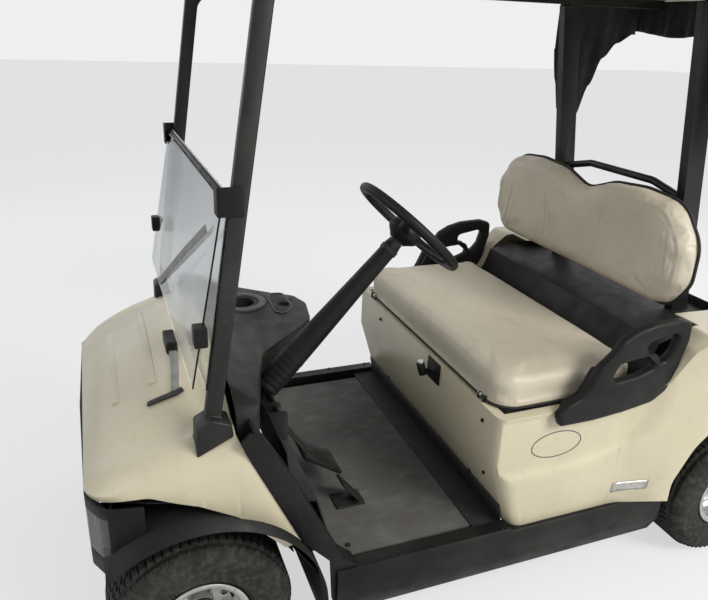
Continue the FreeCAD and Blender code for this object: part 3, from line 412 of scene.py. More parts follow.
def corner_arc(before, point, after, radius, step):
    """Points of the arc that rounds one corner of a 2-D outline."""
    u = (before - point)
    v = (after - point)
    room = 0.48 * min(u.length, v.length)
    u.normalize()
    v.normalize()
    half = u.angle(v) / 2
    if radius <= 0 or half > math.radians(89):
        return [point]
    reach = min(radius / math.tan(half), room)
    r = reach * math.tan(half)
    way = (u + v).normalized()
    centre = point + way * (r / math.sin(half))
    start = (point + u * reach) - centre
    end = (point + v * reach) - centre
    sweep = start.angle(end)
    count = max(2, math.ceil(sweep * r / step))
    turn = 1 if start.x * end.y - start.y * end.x > 0 else -1
    points = []
    for i in range(count + 1):
        angle = turn * sweep * i / count
        c, s = math.cos(angle), math.sin(angle)
        points.append(centre + Vector((start.x * c - start.y * s, start.x * s + start.y * c)))
    return points


def outline(points, radii, step=0.008):
    """A closed 2-D outline with rounded corners, its straight runs divided evenly."""
    corners = [Vector(p) for p in points]
    radii = radii if isinstance(radii, (list, tuple)) else [radii] * len(corners)
    raw = []
    for i, point in enumerate(corners):
        raw += corner_arc(corners[i - 1], point, corners[(i + 1) % len(corners)], radii[i], step)
    out = []
    for i, point in enumerate(raw):
        after = raw[(i + 1) % len(raw)]
        gap = (after - point).length
        if gap < 1e-6:
            continue
        parts = max(1, round(gap / (step * 2)))
        out += [point.lerp(after, k / parts) for k in range(parts)]
    return out


def tube(name, points, radius, material, sides=12, closed=False):
    """A round bar along points."""
    points = [Vector(p) for p in points]
    count = len(points)
    rings = []
    side = None
    for i, point in enumerate(points):
        before = points[i - 1] if closed or i else point
        after = points[(i + 1) % count] if closed or i < count - 1 else point
        way = (after - before).normalized()
        if side is None:
            side = way.orthogonal().normalized()
        side = (side - way * side.dot(way)).normalized()
        other = way.cross(side)
        rings.append([point + side * (c * radius) + other * (s * radius) for c, s in circle(sides)])
    vertices, faces = rings_to_mesh(rings, closed_run=closed)
    return mesh_piece(name, vertices, faces, material)


def turned(name, profile, origin, axis, material, steps=48):
    """A turned piece from (distance along the axis, radius) points, closed on the axis where radius is 0."""
    origin = Vector(origin)
    axis = Vector(axis).normalized()
    side = axis.orthogonal().normalized()
    other = axis.cross(side)
    rings = []
    for along, radius in profile:
        rings.append([origin + axis * along + (side * c + other * s) * radius for c, s in circle(steps)])
    vertices, faces = rings_to_mesh(rings, caps=False, closed_run=profile[0][1] > 0)
    return mesh_piece(name, vertices, faces, material)


def rounded_block(name, low, high, edge, material, segments=2):
    """A box between two corners, its edges rounded."""
    x0, y0, z0 = low
    x1, y1, z1 = high
    vertices = [(x, y, z) for x in (x0, x1) for y in (y0, y1) for z in (z0, z1)]
    faces = [(0, 1, 3, 2), (4, 6, 7, 5), (0, 4, 5, 1), (2, 3, 7, 6), (0, 2, 6, 4), (1, 5, 7, 3)]
    return bevelled(mesh_piece(name, vertices, faces, material), edge, segments)


def thickened(piece, thick, offset=0.0):
    """Gives a sheet its thickness."""
    wall = piece.modifiers.new("wall", "SOLIDIFY")
    wall.thickness = thick
    wall.offset = offset
    return settled(piece)


def bevelled(piece, width, segments=2):
    """Rounds the piece's sharp edges and keeps the result as its mesh."""
    modifier = piece.modifiers.new("edges", "BEVEL")
    modifier.width = width
    modifier.segments = segments
    modifier.limit_method = "ANGLE"
    modifier.angle_limit = math.radians(32)
    modifier.harden_normals = True
    return settled(piece)


def settled(piece):
    """Turns the piece's modifiers into its mesh."""
    depsgraph = bpy.context.evaluated_depsgraph_get()
    made = bpy.data.meshes.new_from_object(piece.evaluated_get(depsgraph))
    old = piece.data
    piece.modifiers.clear()
    piece.data = made
    made.name = piece.name
    if old.users == 0:
        bpy.data.meshes.remove(old)
    return piece


def subdivided(piece, levels):
    modifier = piece.modifiers.new("smooth", "SUBSURF")
    modifier.levels = levels
    modifier.render_levels = levels
    return settled(piece)


def joined(name, pieces):
    """Several objects as one, named afresh."""
    bpy.ops.object.select_all(action="DESELECT")
    for piece in pieces:
        piece.select_set(True)
    bpy.context.view_layer.objects.active = pieces[0]
    bpy.ops.object.join()
    pieces[0].name = name
    pieces[0].data.name = name
    return pieces[0]


def carry(piece, body, slot, *nodes):
    """Hangs a finished piece on its body and hides the CAD pieces that it stands for; its slot is not used."""
    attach(piece, body)
    if nodes:
        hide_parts(*nodes)
    return piece


def softened(node, width):
    """A copy of a rigid CAD piece with its edges rounded, standing for it."""
    mesh = frame["nodes"][node].data.copy()
    tidy = bmesh.new()
    tidy.from_mesh(mesh)
    bmesh.ops.remove_doubles(tidy, verts=tidy.verts, dist=2e-5)
    bmesh.ops.dissolve_limit(tidy, angle_limit=math.radians(0.8), verts=tidy.verts, edges=tidy.edges)
    tidy.to_mesh(mesh)
    tidy.free()
    piece = placed(node + "_moulding", mesh)
    piece.data.polygons.foreach_set("use_smooth", [True] * len(piece.data.polygons))
    bevelled(piece, width)
    return carry(piece, NODE_BODY[node], NODE_SLOT[node], node)


# Softened pieces: CAD node, edge radius
EDGE_RADII = {
    "rear_body": 0.0018, "front_cowl": 0.0018, "front_bumper": 0.0018, "rear_bumper": 0.0025,
    "dashboard": 0.0018, "rocker_left": 0.0018, "rocker_right": 0.0018, "seat_tray": 0.0018,
    "bag_well": 0.0018, "front_post_left": 0.004, "front_post_right": 0.004, "rear_roof_frame": 0.004,
    "roof": 0.012, "front_rails": 0.003, "rear_rails": 0.003, "brake_pedal": 0.0015,
    "accelerator_pedal": 0.0015, "windshield_hinges": 0.001, "shift_lever": 0.001,
    "backrest_shell": 0.003,
}
# The softened pieces by node, for what is laid on them later
DRESSED = {}


def dress_rigid_pieces():
    for node, radius in EDGE_RADII.items():
        DRESSED[node] = softened(node, radius)


# Repeats made by geometry nodes

HEAD_TAPER = 0.78


def repeat_tree(name, inputs):
    """An empty geometry node tree with its named inputs."""
    tree = bpy.data.node_groups.new(name, "GeometryNodeTree")
    tree.interface.new_socket("Geometry", in_out="INPUT", socket_type="NodeSocketGeometry")
    for label, kind, value in inputs:
        socket = tree.interface.new_socket(label, in_out="INPUT", socket_type="NodeSocket" + kind)
        if kind != "Material":
            socket.default_value = value
    tree.interface.new_socket("Geometry", in_out="OUTPUT", socket_type="NodeSocketGeometry")
    start = tree.nodes.new("NodeGroupInput")
    end = tree.nodes.new("NodeGroupOutput")
    return tree, start, end


def end_repeat(tree, start, end, instances):
    """Realizes the instances and sets their material."""
    real = wire(tree, "GeometryNodeRealizeInstances", {"Geometry": instances})
    coloured = wire(tree, "GeometryNodeSetMaterial", {
        "Geometry": real.outputs[0], "Material": start.outputs["Material"]})
    tree.links.new(coloured.outputs[0], end.inputs[0])


def fastener_tree():
    """Turned heads on points, each facing the way its point says."""
    tree, start, end = repeat_tree("fastener_heads", [
        ("Head radius", "Float", 0.006), ("Head height", "Float", 0.004), ("Sides", "Int", 12),
        ("Material", "Material", None)])
    head = wire(tree, "GeometryNodeMeshCone", {
        "Vertices": start.outputs["Sides"], "Radius Bottom": start.outputs["Head radius"],
        "Radius Top": reckoned(tree, "MULTIPLY", start.outputs["Head radius"], HEAD_TAPER),
        "Depth": start.outputs["Head height"]})
    facing = wire(tree, "GeometryNodeInputNamedAttribute", {"Name": "facing"}, data_type="FLOAT_VECTOR")
    turn = wire(tree, "FunctionNodeAlignRotationToVector", {"Vector": facing.outputs["Attribute"]}, axis="Z")
    heads = wire(tree, "GeometryNodeInstanceOnPoints", {
        "Points": start.outputs["Geometry"], "Instance": head.outputs["Mesh"], "Rotation": turn.outputs[0]})
    end_repeat(tree, start, end, heads.outputs[0])
    return tree


def ring_tree():
    """Blocks round a wheel: one row at a distance along the axle, skewed by an angle."""
    tree, start, end = repeat_tree("tread_row", [
        ("Count", "Int", 60), ("Radius", "Float", 0.2), ("Across", "Float", 0.0), ("Shift", "Float", 0.0),
        ("Size", "Vector", (0.02, 0.014, 0.006)), ("Skew", "Float", 0.0), ("Material", "Material", None)])
    line = wire(tree, "GeometryNodeMeshLine", {"Count": start.outputs["Count"], "Offset": (0.0, 0.0, 0.0)})
    number = wire(tree, "GeometryNodeInputIndex", {})
    share = reckoned(tree, "ADD", number.outputs[0], start.outputs["Shift"])
    part = reckoned(tree, "DIVIDE", share, start.outputs["Count"])
    turn = reckoned(tree, "MULTIPLY", part, 2 * math.pi)
    sine = reckoned(tree, "SINE", turn)
    cosine = reckoned(tree, "COSINE", turn)
    out = wire(tree, "ShaderNodeCombineXYZ", {"X": 0.0, "Y": sine, "Z": cosine})
    reach = wire(tree, "ShaderNodeVectorMath", {0: out.outputs[0], "Scale": start.outputs["Radius"]},
                 operation="SCALE")
    across = wire(tree, "ShaderNodeCombineXYZ", {"X": start.outputs["Across"]})
    spot = wire(tree, "ShaderNodeVectorMath", {0: reach.outputs[0], 1: across.outputs[0]}, operation="ADD")
    row = wire(tree, "GeometryNodeSetPosition", {"Geometry": line.outputs[0], "Position": spot.outputs[0]})
    cube = wire(tree, "GeometryNodeMeshCube", {"Size": start.outputs["Size"]})
    angles = wire(tree, "ShaderNodeCombineXYZ", {"X": reckoned(tree, "MULTIPLY", turn, -1.0)})
    euler = wire(tree, "FunctionNodeEulerToRotation", {"Euler": angles.outputs[0]})
    skew = wire(tree, "ShaderNodeCombineXYZ", {"Z": start.outputs["Skew"]})
    skewed = wire(tree, "FunctionNodeEulerToRotation", {"Euler": skew.outputs[0]})
    both = wire(tree, "FunctionNodeRotateRotation", {
        "Rotation": euler.outputs[0], "Rotate By": skewed.outputs[0]}, rotation_space="LOCAL")
    blocks = wire(tree, "GeometryNodeInstanceOnPoints", {
        "Points": row.outputs[0], "Instance": cube.outputs[0], "Rotation": both.outputs[0]})
    end_repeat(tree, start, end, blocks.outputs[0])
    return tree


TREES = {"fasteners": fastener_tree(), "tread": ring_tree()}


def repeated(name, tree, values, carrier=None):
    """Runs a repeat tree with its named inputs and returns the result as a plain mesh object."""
    if carrier is None:
        carrier = placed(name, bpy.data.meshes.new(name))
    modifier = carrier.modifiers.new("repeat", "NODES")
    modifier.node_group = TREES[tree]
    items = TREES[tree].interface.items_tree
    sockets = {item.name: item.identifier for item in items if item.in_out == "INPUT"}
    for label, value in values.items():
        modifier[sockets[label]] = value
    carrier.update_tag()
    depsgraph = bpy.context.evaluated_depsgraph_get()
    made = bpy.data.meshes.new_from_object(carrier.evaluated_get(depsgraph))
    made.name = name
    bpy.data.objects.remove(carrier)
    return placed(name, made)


def fasteners(name, places, radius, height, material, sides=12):
    """Bolt or screw heads at (point, facing) places."""
    mesh = bpy.data.meshes.new(name)
    mesh.from_pydata([tuple(point) for point, facing in places], [], [])
    facing = mesh.attributes.new("facing", "FLOAT_VECTOR", "POINT")
    facing.data.foreach_set("vector", [value for point, way in places for value in way])
    return repeated(name, "fasteners", {
        "Head radius": radius, "Head height": height, "Sides": sides, "Material": material},
        placed(name, mesh))


# Wheels

TREAD_DEPTH = 0.0045
# Added to a block's height and taken off its radius, so that its foot sinks into the casing
TREAD_SINK = 0.001
TREAD_LENGTH = 0.0165
TREAD_BLOCKS = 64
# The outer rows lie lower, as the shoulder does
SHOULDER_DROP = 0.0078
# Tread rows: distance from the middle, block width across, skew in degrees, half-step shift
TREAD_ROWS = [(-0.0785, 0.016, 14, 0.0), (-0.056, 0.021, 0, 0.5), (-0.028, 0.024, 10, 0.0),
              (0.0, 0.024, 0, 0.5), (0.028, 0.024, -10, 0.0), (0.056, 0.021, 0, 0.5),
              (0.0785, 0.016, -14, 0.0)]


def tyre(tyre_node, spin):
    """Tyre with bead, ribbed sidewall, rounded shoulder and rows of tread blocks."""
    low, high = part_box(tyre_node)
    centre = Vector(JOINTS[spin]["pos_m"])
    centre.x = (low.x + high.x) / 2
    radius = (high.z - low.z) / 2
    base = radius - TREAD_DEPTH
    # x from the middle, radius
    wall = [(0.086, 0.1025), (0.0865, 0.118), (0.0935, 0.1215), (0.1015, 0.129), (0.1045, 0.131),
            (0.1040, 0.135), (0.1062, 0.150), (0.1066, 0.152), (0.1066, 0.157), (0.1066, 0.168),
            (0.1068, 0.176), (0.1060, 0.184), (0.1060, 0.190), (0.1025, 0.199), (0.0975, 0.2050),
            (0.0920, 0.2105), (0.0860, base - 0.0085), (0.0780, base - 0.0065), (0.0700, base - 0.0040)]
    crown = [(0.068, base - 0.0008), (0.034, base), (0.0, base)]
    outer = wall + crown
    profile = outer + [(-x, r) for x, r in outer[-2::-1]]
    inner = [(-0.080, 0.1020), (-0.078, 0.1180), (-0.094, 0.150), (-0.088, 0.200), (0.0, base - 0.012),
             (0.088, 0.200), (0.094, 0.150), (0.078, 0.118), (0.080, 0.1020)]
    body = turned(tyre_node + "_casing", profile + inner, centre, (1, 0, 0), M["tyre"], 96)
    rows = []
    for i, (across, wide, skew, shift) in enumerate(TREAD_ROWS):
        drop = SHOULDER_DROP if abs(across) > 0.07 else 0.0
        row = repeated(f"{tyre_node}_row_{i}", "tread", {
            "Count": TREAD_BLOCKS, "Radius": radius - TREAD_DEPTH / 2 - drop - TREAD_SINK, "Across": across,
            "Shift": shift, "Size": (wide, TREAD_LENGTH, TREAD_DEPTH + TREAD_SINK),
            "Skew": math.radians(skew), "Material": M["tyre"]})
        rows.append(row)
    for row in rows:
        row.data.transform(Matrix.Translation(centre))
    piece = joined(tyre_node + "_rubber", [body] + rows)
    return carry(piece, NODE_BODY[tyre_node], "tyre_rubber", tyre_node)


def wheel_details(wheel_node, spin, side):
    """Lug nuts, dust cap and valve stem on one wheel."""
    centre = Vector(JOINTS[spin]["pos_m"])
    face = centre.x + side * 0.014
    bolt_radius = 0.043
    places = []
    for degrees in (45, 135, 225, 315):
        angle = math.radians(degrees)
        point = (face + side * 0.005, centre.y + bolt_radius * math.cos(angle),
                 centre.z + bolt_radius * math.sin(angle))
        places.append((point, (side, 0, 0)))
    nuts = fasteners(wheel_node + "_nuts", places, 0.0095, 0.012, M["zinc"], 6)
    carry(nuts, NODE_BODY[wheel_node], "wheel_silver")
    cap_line = [(0.0, 0.0325), (0.006, 0.0335), (0.010, 0.030), (0.0125, 0.020), (0.0135, 0.0)]
    cap_place = (centre.x + side * 0.048, centre.y, centre.z)
    cap = turned(wheel_node + "_cap", cap_line, cap_place, (side, 0, 0), M["black"], 32)
    carry(cap, NODE_BODY[wheel_node], "black_plastic")
    stem_line = [(face - side * 0.002, centre.y + 0.078, centre.z),
                 (face + side * 0.020, centre.y + 0.080, centre.z)]
    stem = tube(wheel_node + "_valve", stem_line, 0.004, M["rubber"], 8)
    carry(stem, NODE_BODY[wheel_node], "tyre_rubber")


def build_wheels():
    for end in ("front", "rear"):
        for label, side in (("left", 1), ("right", -1)):
            wheel_node = f"{end}_wheel_{label}"
            spin = f"{end}_{label}_spin"
            tyre(f"{end}_tyre_{label}", spin)
            softened(wheel_node, 0.0012)
            wheel_details(wheel_node, spin, side)


# Shapes laid on other pieces

def strap(name, points, width, thick, facing, material, segments=3):
    """A flat bar with rounded edges along points; its broad side looks along facing.
    width is one value or one for each point."""
    points = [Vector(p) for p in points]
    widths = width if isinstance(width, (list, tuple)) else [width] * len(points)
    facing = Vector(facing)
    rings = []
    for i, point in enumerate(points):
        way = (points[min(i + 1, len(points) - 1)] - points[max(i - 1, 0)]).normalized()
        across = facing.cross(way).normalized()
        up = way.cross(across)
        ring = []
        for corner in range(4):
            sx = 1 if corner in (0, 3) else -1
            sz = 1 if corner in (0, 1) else -1
            for k in range(segments):
                angle = math.pi / 2 * (corner + k / (segments - 1))
                round_off = thick * 0.45
                place = across * (sx * (widths[i] / 2 - round_off) + math.cos(angle) * round_off)
                ring.append(point + place + up * (sz * (thick / 2 - round_off) + math.sin(angle) * round_off))
        rings.append(ring)
    vertices, faces = rings_to_mesh(rings)
    return mesh_piece(name, vertices, faces, material)


def surface_of(*pieces):
    """What a ray can be laid on: the skins of finished pieces."""
    depsgraph = bpy.context.evaluated_depsgraph_get()
    return [BVHTree.FromObject(piece, depsgraph) for piece in pieces]


def laid(surfaces, point, way, lift=0.0, reach=0.6):
    """The point where a ray along way, from half the reach back, meets the surfaces, lifted off them."""
    way = Vector(way).normalized()
    best = None
    for surface in surfaces:
        hit, normal, _, gap = surface.ray_cast(Vector(point) - way * (reach / 2), way, reach)
        if hit is not None and (best is None or gap < best[2]):
            best = (hit, normal, gap)
    if best is None:
        return Vector(point)
    normal = best[1] if best[1].dot(way) < 0 else -best[1]
    return best[0] + normal * lift


# Rear body side

BODY_HALF = 0.530
SIDE_RECESS = 0.015
PANEL_THICK = 0.004
KICK_TOP_S = 0.800
KICK_CORNER = 0.045
# Middle of the soft ledge on each side, as (s, z); the side is set in above it
LEDGE_LINE = [(0.780, 0.455), (1.019, 0.454), (1.110, 0.461), (1.189, 0.476), (1.250, 0.500), (1.290, 0.535),
              (1.316, 0.590), (1.335, 0.700)]
LEDGE_WIDTH = 0.036


def above_ledge(s, z):
    """Signed distance from the ledge's middle line, positive above it."""
    best = None
    spot = Vector((s, z))
    for a, b in zip(LEDGE_LINE, LEDGE_LINE[1:]):
        a, b = Vector(a), Vector(b)
        run = b - a
        share = min(1.0, max(0.0, (spot - a).dot(run) / run.length_squared))
        gap = spot - (a + run * share)
        if best is None or gap.length < abs(best):
            best = gap.length * (1 if run.x * (spot - a).y - run.y * (spot - a).x > 0 else -1)
    return best


def eased(value):
    value = min(1.0, max(0.0, value))
    return value * value * (3 - 2 * value)


def soften_side_step(piece):
    """Turns the step in the rear body's sides into the wide soft ledge, in both skins of its wall."""
    probe = surface_of(piece)
    # How far out the side lies below the ledge, every 20 mm
    flat = {}
    steps = [0.76 + 0.02 * i for i in range(32)]
    for side in (-1, 1):
        flat[side] = [abs(laid(probe, at(side * 0.58, s, 0.405), (-side, 0, 0), 0.0, 0.2).x) for s in steps]
    mesh = bmesh.new()
    mesh.from_mesh(piece.data)
    # Level cuts through the ledge and upright ones along it, so that its skin can bend
    cuts = [(at(0, 0, 0.400 + 0.008 * i), (0, 0, 1)) for i in range(38)]
    cuts += [(at(0, 0.80 + 0.02 * i, 0), (0, 1, 0)) for i in range(29)]
    for place, way in cuts:
        faces = []
        for face in mesh.faces:
            middle = face.calc_center_median()
            on_side = abs(middle.x) > 0.48 and abs(face.normal.x) > 0.5
            if on_side and middle.y - AXLE_Y < 1.50 and middle.z > 0.2:
                faces.append(face)
        edges = {edge for face in faces for edge in face.edges}
        verts = {vert for face in faces for vert in face.verts}
        cut = list(verts) + list(edges) + faces
        bmesh.ops.bisect_plane(mesh, geom=cut, plane_co=place, plane_no=way, dist=1e-5)
    mesh.normal_update()
    for vert in mesh.verts:
        s, z = vert.co.y - AXLE_Y, vert.co.z
        side = 1 if vert.co.x > 0 else -1
        normal = vert.normal.x * side
        top = 0.636 if s < 1.195 else 0.700
        if abs(vert.co.x) < 0.505 or not 0.40 < z < top or not 0.80 < s < 1.345:
            continue
        if abs(normal) < 0.5:
            if not (vert.normal.z > 0.5 and z < 0.625 or vert.normal.z < -0.5):
                continue
            normal = vert.normal.z
        if s < 1.22:
            level = BODY_HALF
        else:
            spot = (s - steps[0]) / 0.02
            low = int(spot)
            level = flat[side][low] + (flat[side][low + 1] - flat[side][low]) * (spot - low)
        inset = SIDE_RECESS * eased(above_ledge(s, z) / LEDGE_WIDTH + 0.5)
        reach = level - inset
        if s < KICK_TOP_S + KICK_CORNER and z > 0.46:
            short = min(KICK_TOP_S + KICK_CORNER - s, KICK_CORNER)
            reach = min(reach, BODY_HALF - KICK_CORNER + math.sqrt(KICK_CORNER ** 2 - short ** 2))
        elif s < 0.90:
            reach = min(reach, abs(vert.co.x) + (0 if normal > 0 else PANEL_THICK))
        vert.co.x = side * (reach - (0 if normal > 0 else PANEL_THICK))
    bmesh.ops.remove_doubles(mesh, verts=mesh.verts, dist=5e-5)
    mesh.to_mesh(piece.data)
    mesh.free()
    smooth(piece, 30)


# Armrests

# Outlines as (s, z)
ARM_OUTLINE = [(0.974, 0.612), (0.962, 0.648), (0.992, 0.676), (1.036, 0.694), (1.052, 0.722),
               (1.078, 0.778), (1.118, 0.812), (1.140, 0.846), (1.185, 0.870), (1.240, 0.884),
               (1.330, 0.888), (1.374, 0.874), (1.376, 0.820), (1.356, 0.740), (1.330, 0.668),
               (1.284, 0.636), (1.180, 0.620), (1.083, 0.612)]
ARM_CORNERS = [0.008, 0.012, 0.030, 0.020, 0.030, 0.020, 0.020, 0.020, 0.030, 0.060, 0.030, 0.020,
               0.040, 0.060, 0.040, 0.050, 0.080, 0.080]
ARM_HOLES = [[(1.118, 0.722), (1.142, 0.776), (1.198, 0.784), (1.256, 0.788), (1.274, 0.752), (1.212, 0.730)],
             [(1.206, 0.826), (1.318, 0.846), (1.336, 0.838), (1.322, 0.790), (1.294, 0.758)]]
ARM_FOOT = [(0.985, 0.636), (1.000, 0.670), (1.044, 0.690), (1.080, 0.766), (1.106, 0.756), (1.092, 0.702),
            (1.190, 0.700), (1.275, 0.700), (1.240, 0.640)]


def standing(x):
    """Turns a plate drawn as (s, z) upright at x."""
    return Matrix(((0, 0, 1, x), (1, 0, 0, AXLE_Y), (0, 1, 0, 0), (0, 0, 0, 1)))


def lying(z):
    """Leaves a plate drawn as (x, s) lying at height z."""
    return Matrix(((1, 0, 0, 0), (0, 1, 0, AXLE_Y), (0, 0, 1, z), (0, 0, 0, 1)))


def plate_from(name, loops, thick, round_edge, turn, material):
    """A plate with rounded edges, from its drawn outline and holes."""
    data = bpy.data.curves.new(name, "CURVE")
    data.dimensions = "2D"
    data.fill_mode = "BOTH"
    data.extrude = thick / 2 - round_edge
    data.bevel_depth = round_edge
    data.bevel_resolution = 3
    data.offset = -round_edge
    for loop in loops:
        spline = data.splines.new("POLY")
        spline.points.add(len(loop) - 1)
        for point, spot in zip(spline.points, loop):
            point.co = (spot.x, spot.y, 0.0, 1.0)
        spline.use_cyclic_u = True
    drawn = placed(name, data)
    depsgraph = bpy.context.evaluated_depsgraph_get()
    mesh = bpy.data.meshes.new_from_object(drawn.evaluated_get(depsgraph))
    bpy.data.objects.remove(drawn)
    mesh.transform(turn)
    turn_outwards(mesh, 1e-5)
    coat(mesh, material)
    piece = placed(name, mesh)
    smooth(piece, 40)
    return piece


def armrest(side, label):
    """Hip restraint: a slim moulded loop with two hand openings and a foot against the body."""
    holes = [outline(hole, 0.016, 0.006) for hole in ARM_HOLES]
    loop = plate_from(f"armrest_{label}_loop", [outline(ARM_OUTLINE, ARM_CORNERS)] + holes, 0.032, 0.011,
                      standing(side * 0.5360), M["black"])
    inner = plate_from(f"armrest_{label}_foot", [outline(ARM_FOOT, 0.012)], 0.018, 0.006,
                       standing(side * 0.5130), M["black"])
    piece = joined(f"armrest_{label}_moulding", [loop, inner])
    carry(piece, "chassis", "black_plastic", f"armrest_{label}")


# Steering

WHEEL_PLACE = Vector(JOINTS["steering_turn"]["pos_m"])
WHEEL_AXIS = Vector(JOINTS["steering_turn"]["axis"]).normalized()


def in_wheel(x, y, z):
    """A place in the steering wheel's own axes: z along the column, y towards the driver."""
    return WHEEL_PLACE + Vector((1, 0, 0)) * x + WHEEL_AXIS.cross(Vector((1, 0, 0))) * y + WHEEL_AXIS * z


def steering_wheel():
    rim_radius, grip = 0.162, 0.0135
    rim_line = [in_wheel(rim_radius * c, rim_radius * s, 0.0) for c, s in circle(72)]
    parts = [tube("steering_rim", rim_line, grip, M["black"], 16, True)]
    # Spoke: distance from the hub, height along the column, and its width there
    run = [(0.030, -0.020), (0.055, -0.018), (0.090, -0.013), (0.125, -0.007), (0.158, -0.001)]
    widths = [0.046, 0.036, 0.029, 0.027, 0.034]
    for degrees in (90, -35, -145):
        c, s = math.cos(math.radians(degrees)), math.sin(math.radians(degrees))
        spoke_line = [in_wheel(c * r, s * r, z) for r, z in run]
        parts.append(strap("steering_spoke", spoke_line, widths, 0.011, WHEEL_AXIS, M["black"], 4))
    pad = [(0.008, 0.0), (0.0075, 0.022), (0.005, 0.036), (-0.002, 0.047), (-0.012, 0.0515),
           (-0.024, 0.050), (-0.034, 0.042), (-0.041, 0.033), (-0.050, 0.024), (-0.050, 0.0)]
    parts.append(turned("steering_pad", pad, WHEEL_PLACE, WHEEL_AXIS, M["black"]))
    groove = [in_wheel(0.036 * c, 0.036 * s, 0.006) for c, s in circle(32)]
    parts.append(tube("steering_pad_ring", groove, 0.0022, M["rubber"], 8, True))
    wheel = joined("steering_wheel_moulding", parts)
    carry(wheel, "steering_wheel", "black_plastic", "steering_wheel")


def column_shroud():
    """Tapered black shroud over the column, with bellows at its foot."""
    reach = 0.592
    folds, fold_length = 7, 0.017
    foot = WHEEL_PLACE - WHEEL_AXIS * reach
    profile = [(-0.006, 0.0), (-0.006, 0.026)]
    for i in range(folds):
        start = 0.002 + fold_length * i
        fade = 1 - i / 9
        profile += [(start, 0.0345 + 0.0015 * fade), (start + 0.006, 0.0352 + 0.0016 * fade),
                    (start + 0.012, 0.0345)]
    profile += [(0.130, 0.0345), (0.250, 0.0310), (0.380, 0.0268), (0.480, 0.0240), (0.522, 0.0232),
                (0.530, 0.0215), (0.530, 0.0)]
    shroud = turned("steering_column_shroud", profile, foot, WHEEL_AXIS, M["black"], 40)
    carry(shroud, "chassis", "black_plastic")
    collar_line = [(0.500, 0.0236), (0.502, 0.0262), (0.516, 0.0262), (0.518, 0.0236)]
    collar = turned("steering_column_collar", collar_line, foot, WHEEL_AXIS, M["steel"], 32)
    carry(collar, "chassis", "frame_paint")


# Wheel arches

ARCH_RADIUS = 0.304


def wheel_arch_skin(side, label):
    """Moulded liner over a front wheel: an arch round the axle with an inner wall."""
    centre = Vector(JOINTS[f"front_{label}_spin"]["pos_m"])
    rings = []
    for i in range(29):
        angle = math.radians(-44 + 146 * i / 28)
        y, z = centre.y + ARCH_RADIUS * math.sin(angle), centre.z + ARCH_RADIUS * math.cos(angle)
        wall_foot = z - 0.10 if z > 0.40 else z - 0.02
        spans = [(0.225, wall_foot), (0.232, z - 0.004), (0.245, z), (0.40, z + 0.001), (0.574, z)]
        rings.append([Vector((side * x, y, level)) for x, level in spans])
    vertices, faces = rings_to_mesh(rings, closed_ring=False, caps=False)
    skin = mesh_piece(f"wheel_arch_skin_{label}", vertices, faces, M["black"])
    thickened(skin, 0.0025, 1.0 if skin.data.polygons[40].normal.z > 0 else -1.0)
    carry(skin, "chassis", "black_plastic")


# Rain cover

# How far each flap hangs from the middle
FLAP_X = 0.431


def curtain_foot(s):
    """Height of the side flap's lower edge at a distance behind the front axle."""
    line = [(1.505, 1.560), (1.525, 1.455), (1.560, 1.330), (1.580, 1.245), (1.605, 1.255), (1.640, 1.310),
            (1.685, 1.430), (1.730, 1.530), (1.790, 1.585), (1.858, 1.618)]
    for (a, low), (b, high) in zip(line, line[1:]):
        if s <= b:
            share = (s - a) / (b - a)
            share = share * share * (3 - 2 * share)
            return low + (high - low) * share
    return line[-1][1]


def rain_curtain():
    """Black cover rolled back under the roof: a rear valance and a flap hanging at each side."""
    low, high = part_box("rain_curtain")
    top = high.z - 0.002
    front, back = low.y - AXLE_Y + 0.002, high.y - AXLE_Y - 0.022
    corner = back + 0.013
    columns, rows = 44, 26
    parts = []
    for side in (-1, 1):
        rings = []
        for i in range(columns + 1):
            s = front + (corner - front) * i / columns
            foot = curtain_foot(s)
            ring = []
            for j in range(rows + 1):
                v = j / rows
                z = top + (foot - top) * v
                broad = math.sin(2 * math.pi * (s * 8.5 + z * 1.3)) * 0.55
                fold = broad + math.sin(2 * math.pi * (s * 17 - z * 2.1)) * 0.30
                ring.append(at(side * (FLAP_X + 0.0062 * fold * min(1.0, 0.25 + v)), s, z))
            rings.append(ring)
        vertices, faces = rings_to_mesh(rings, closed_ring=False, caps=False)
        parts.append(mesh_piece("curtain_flap", vertices, faces, M["cloth"]))
    rings = []
    for i in range(73):
        x = -0.436 + 0.872 * i / 72
        drop = top - 1.620 - 0.010 * math.cos(x * 14)
        fold = math.sin(2 * math.pi * x * 9.0) * 0.6 + math.sin(2 * math.pi * x * 21.0 + 1.0) * 0.3
        ring = []
        for j in range(11):
            v = j / 10
            ring.append(at(x, back + 0.010 + 0.009 * fold * (0.3 + 0.7 * v), top - drop * v))
        rings.append(ring)
    vertices, faces = rings_to_mesh(rings, closed_ring=False, caps=False)
    parts.append(mesh_piece("curtain_valance", vertices, faces, M["cloth"]))
    cover = thickened(joined("rain_curtain_cloth", parts), 0.0012)
    carry(cover, "chassis", "cover_cloth", "rain_curtain")
    hems = []
    for side in (-1, 1):
        spots = [front + (corner - front) * i / 40 for i in range(41)]
        line = [at(side * FLAP_X, s, curtain_foot(s) + 0.002) for s in spots]
        hems.append(tube("curtain_hem", line, 0.0022, M["cloth"], 8))
    hem = joined("rain_curtain_hem", hems)
    carry(hem, "chassis", "cover_cloth")


# Small parts of the front

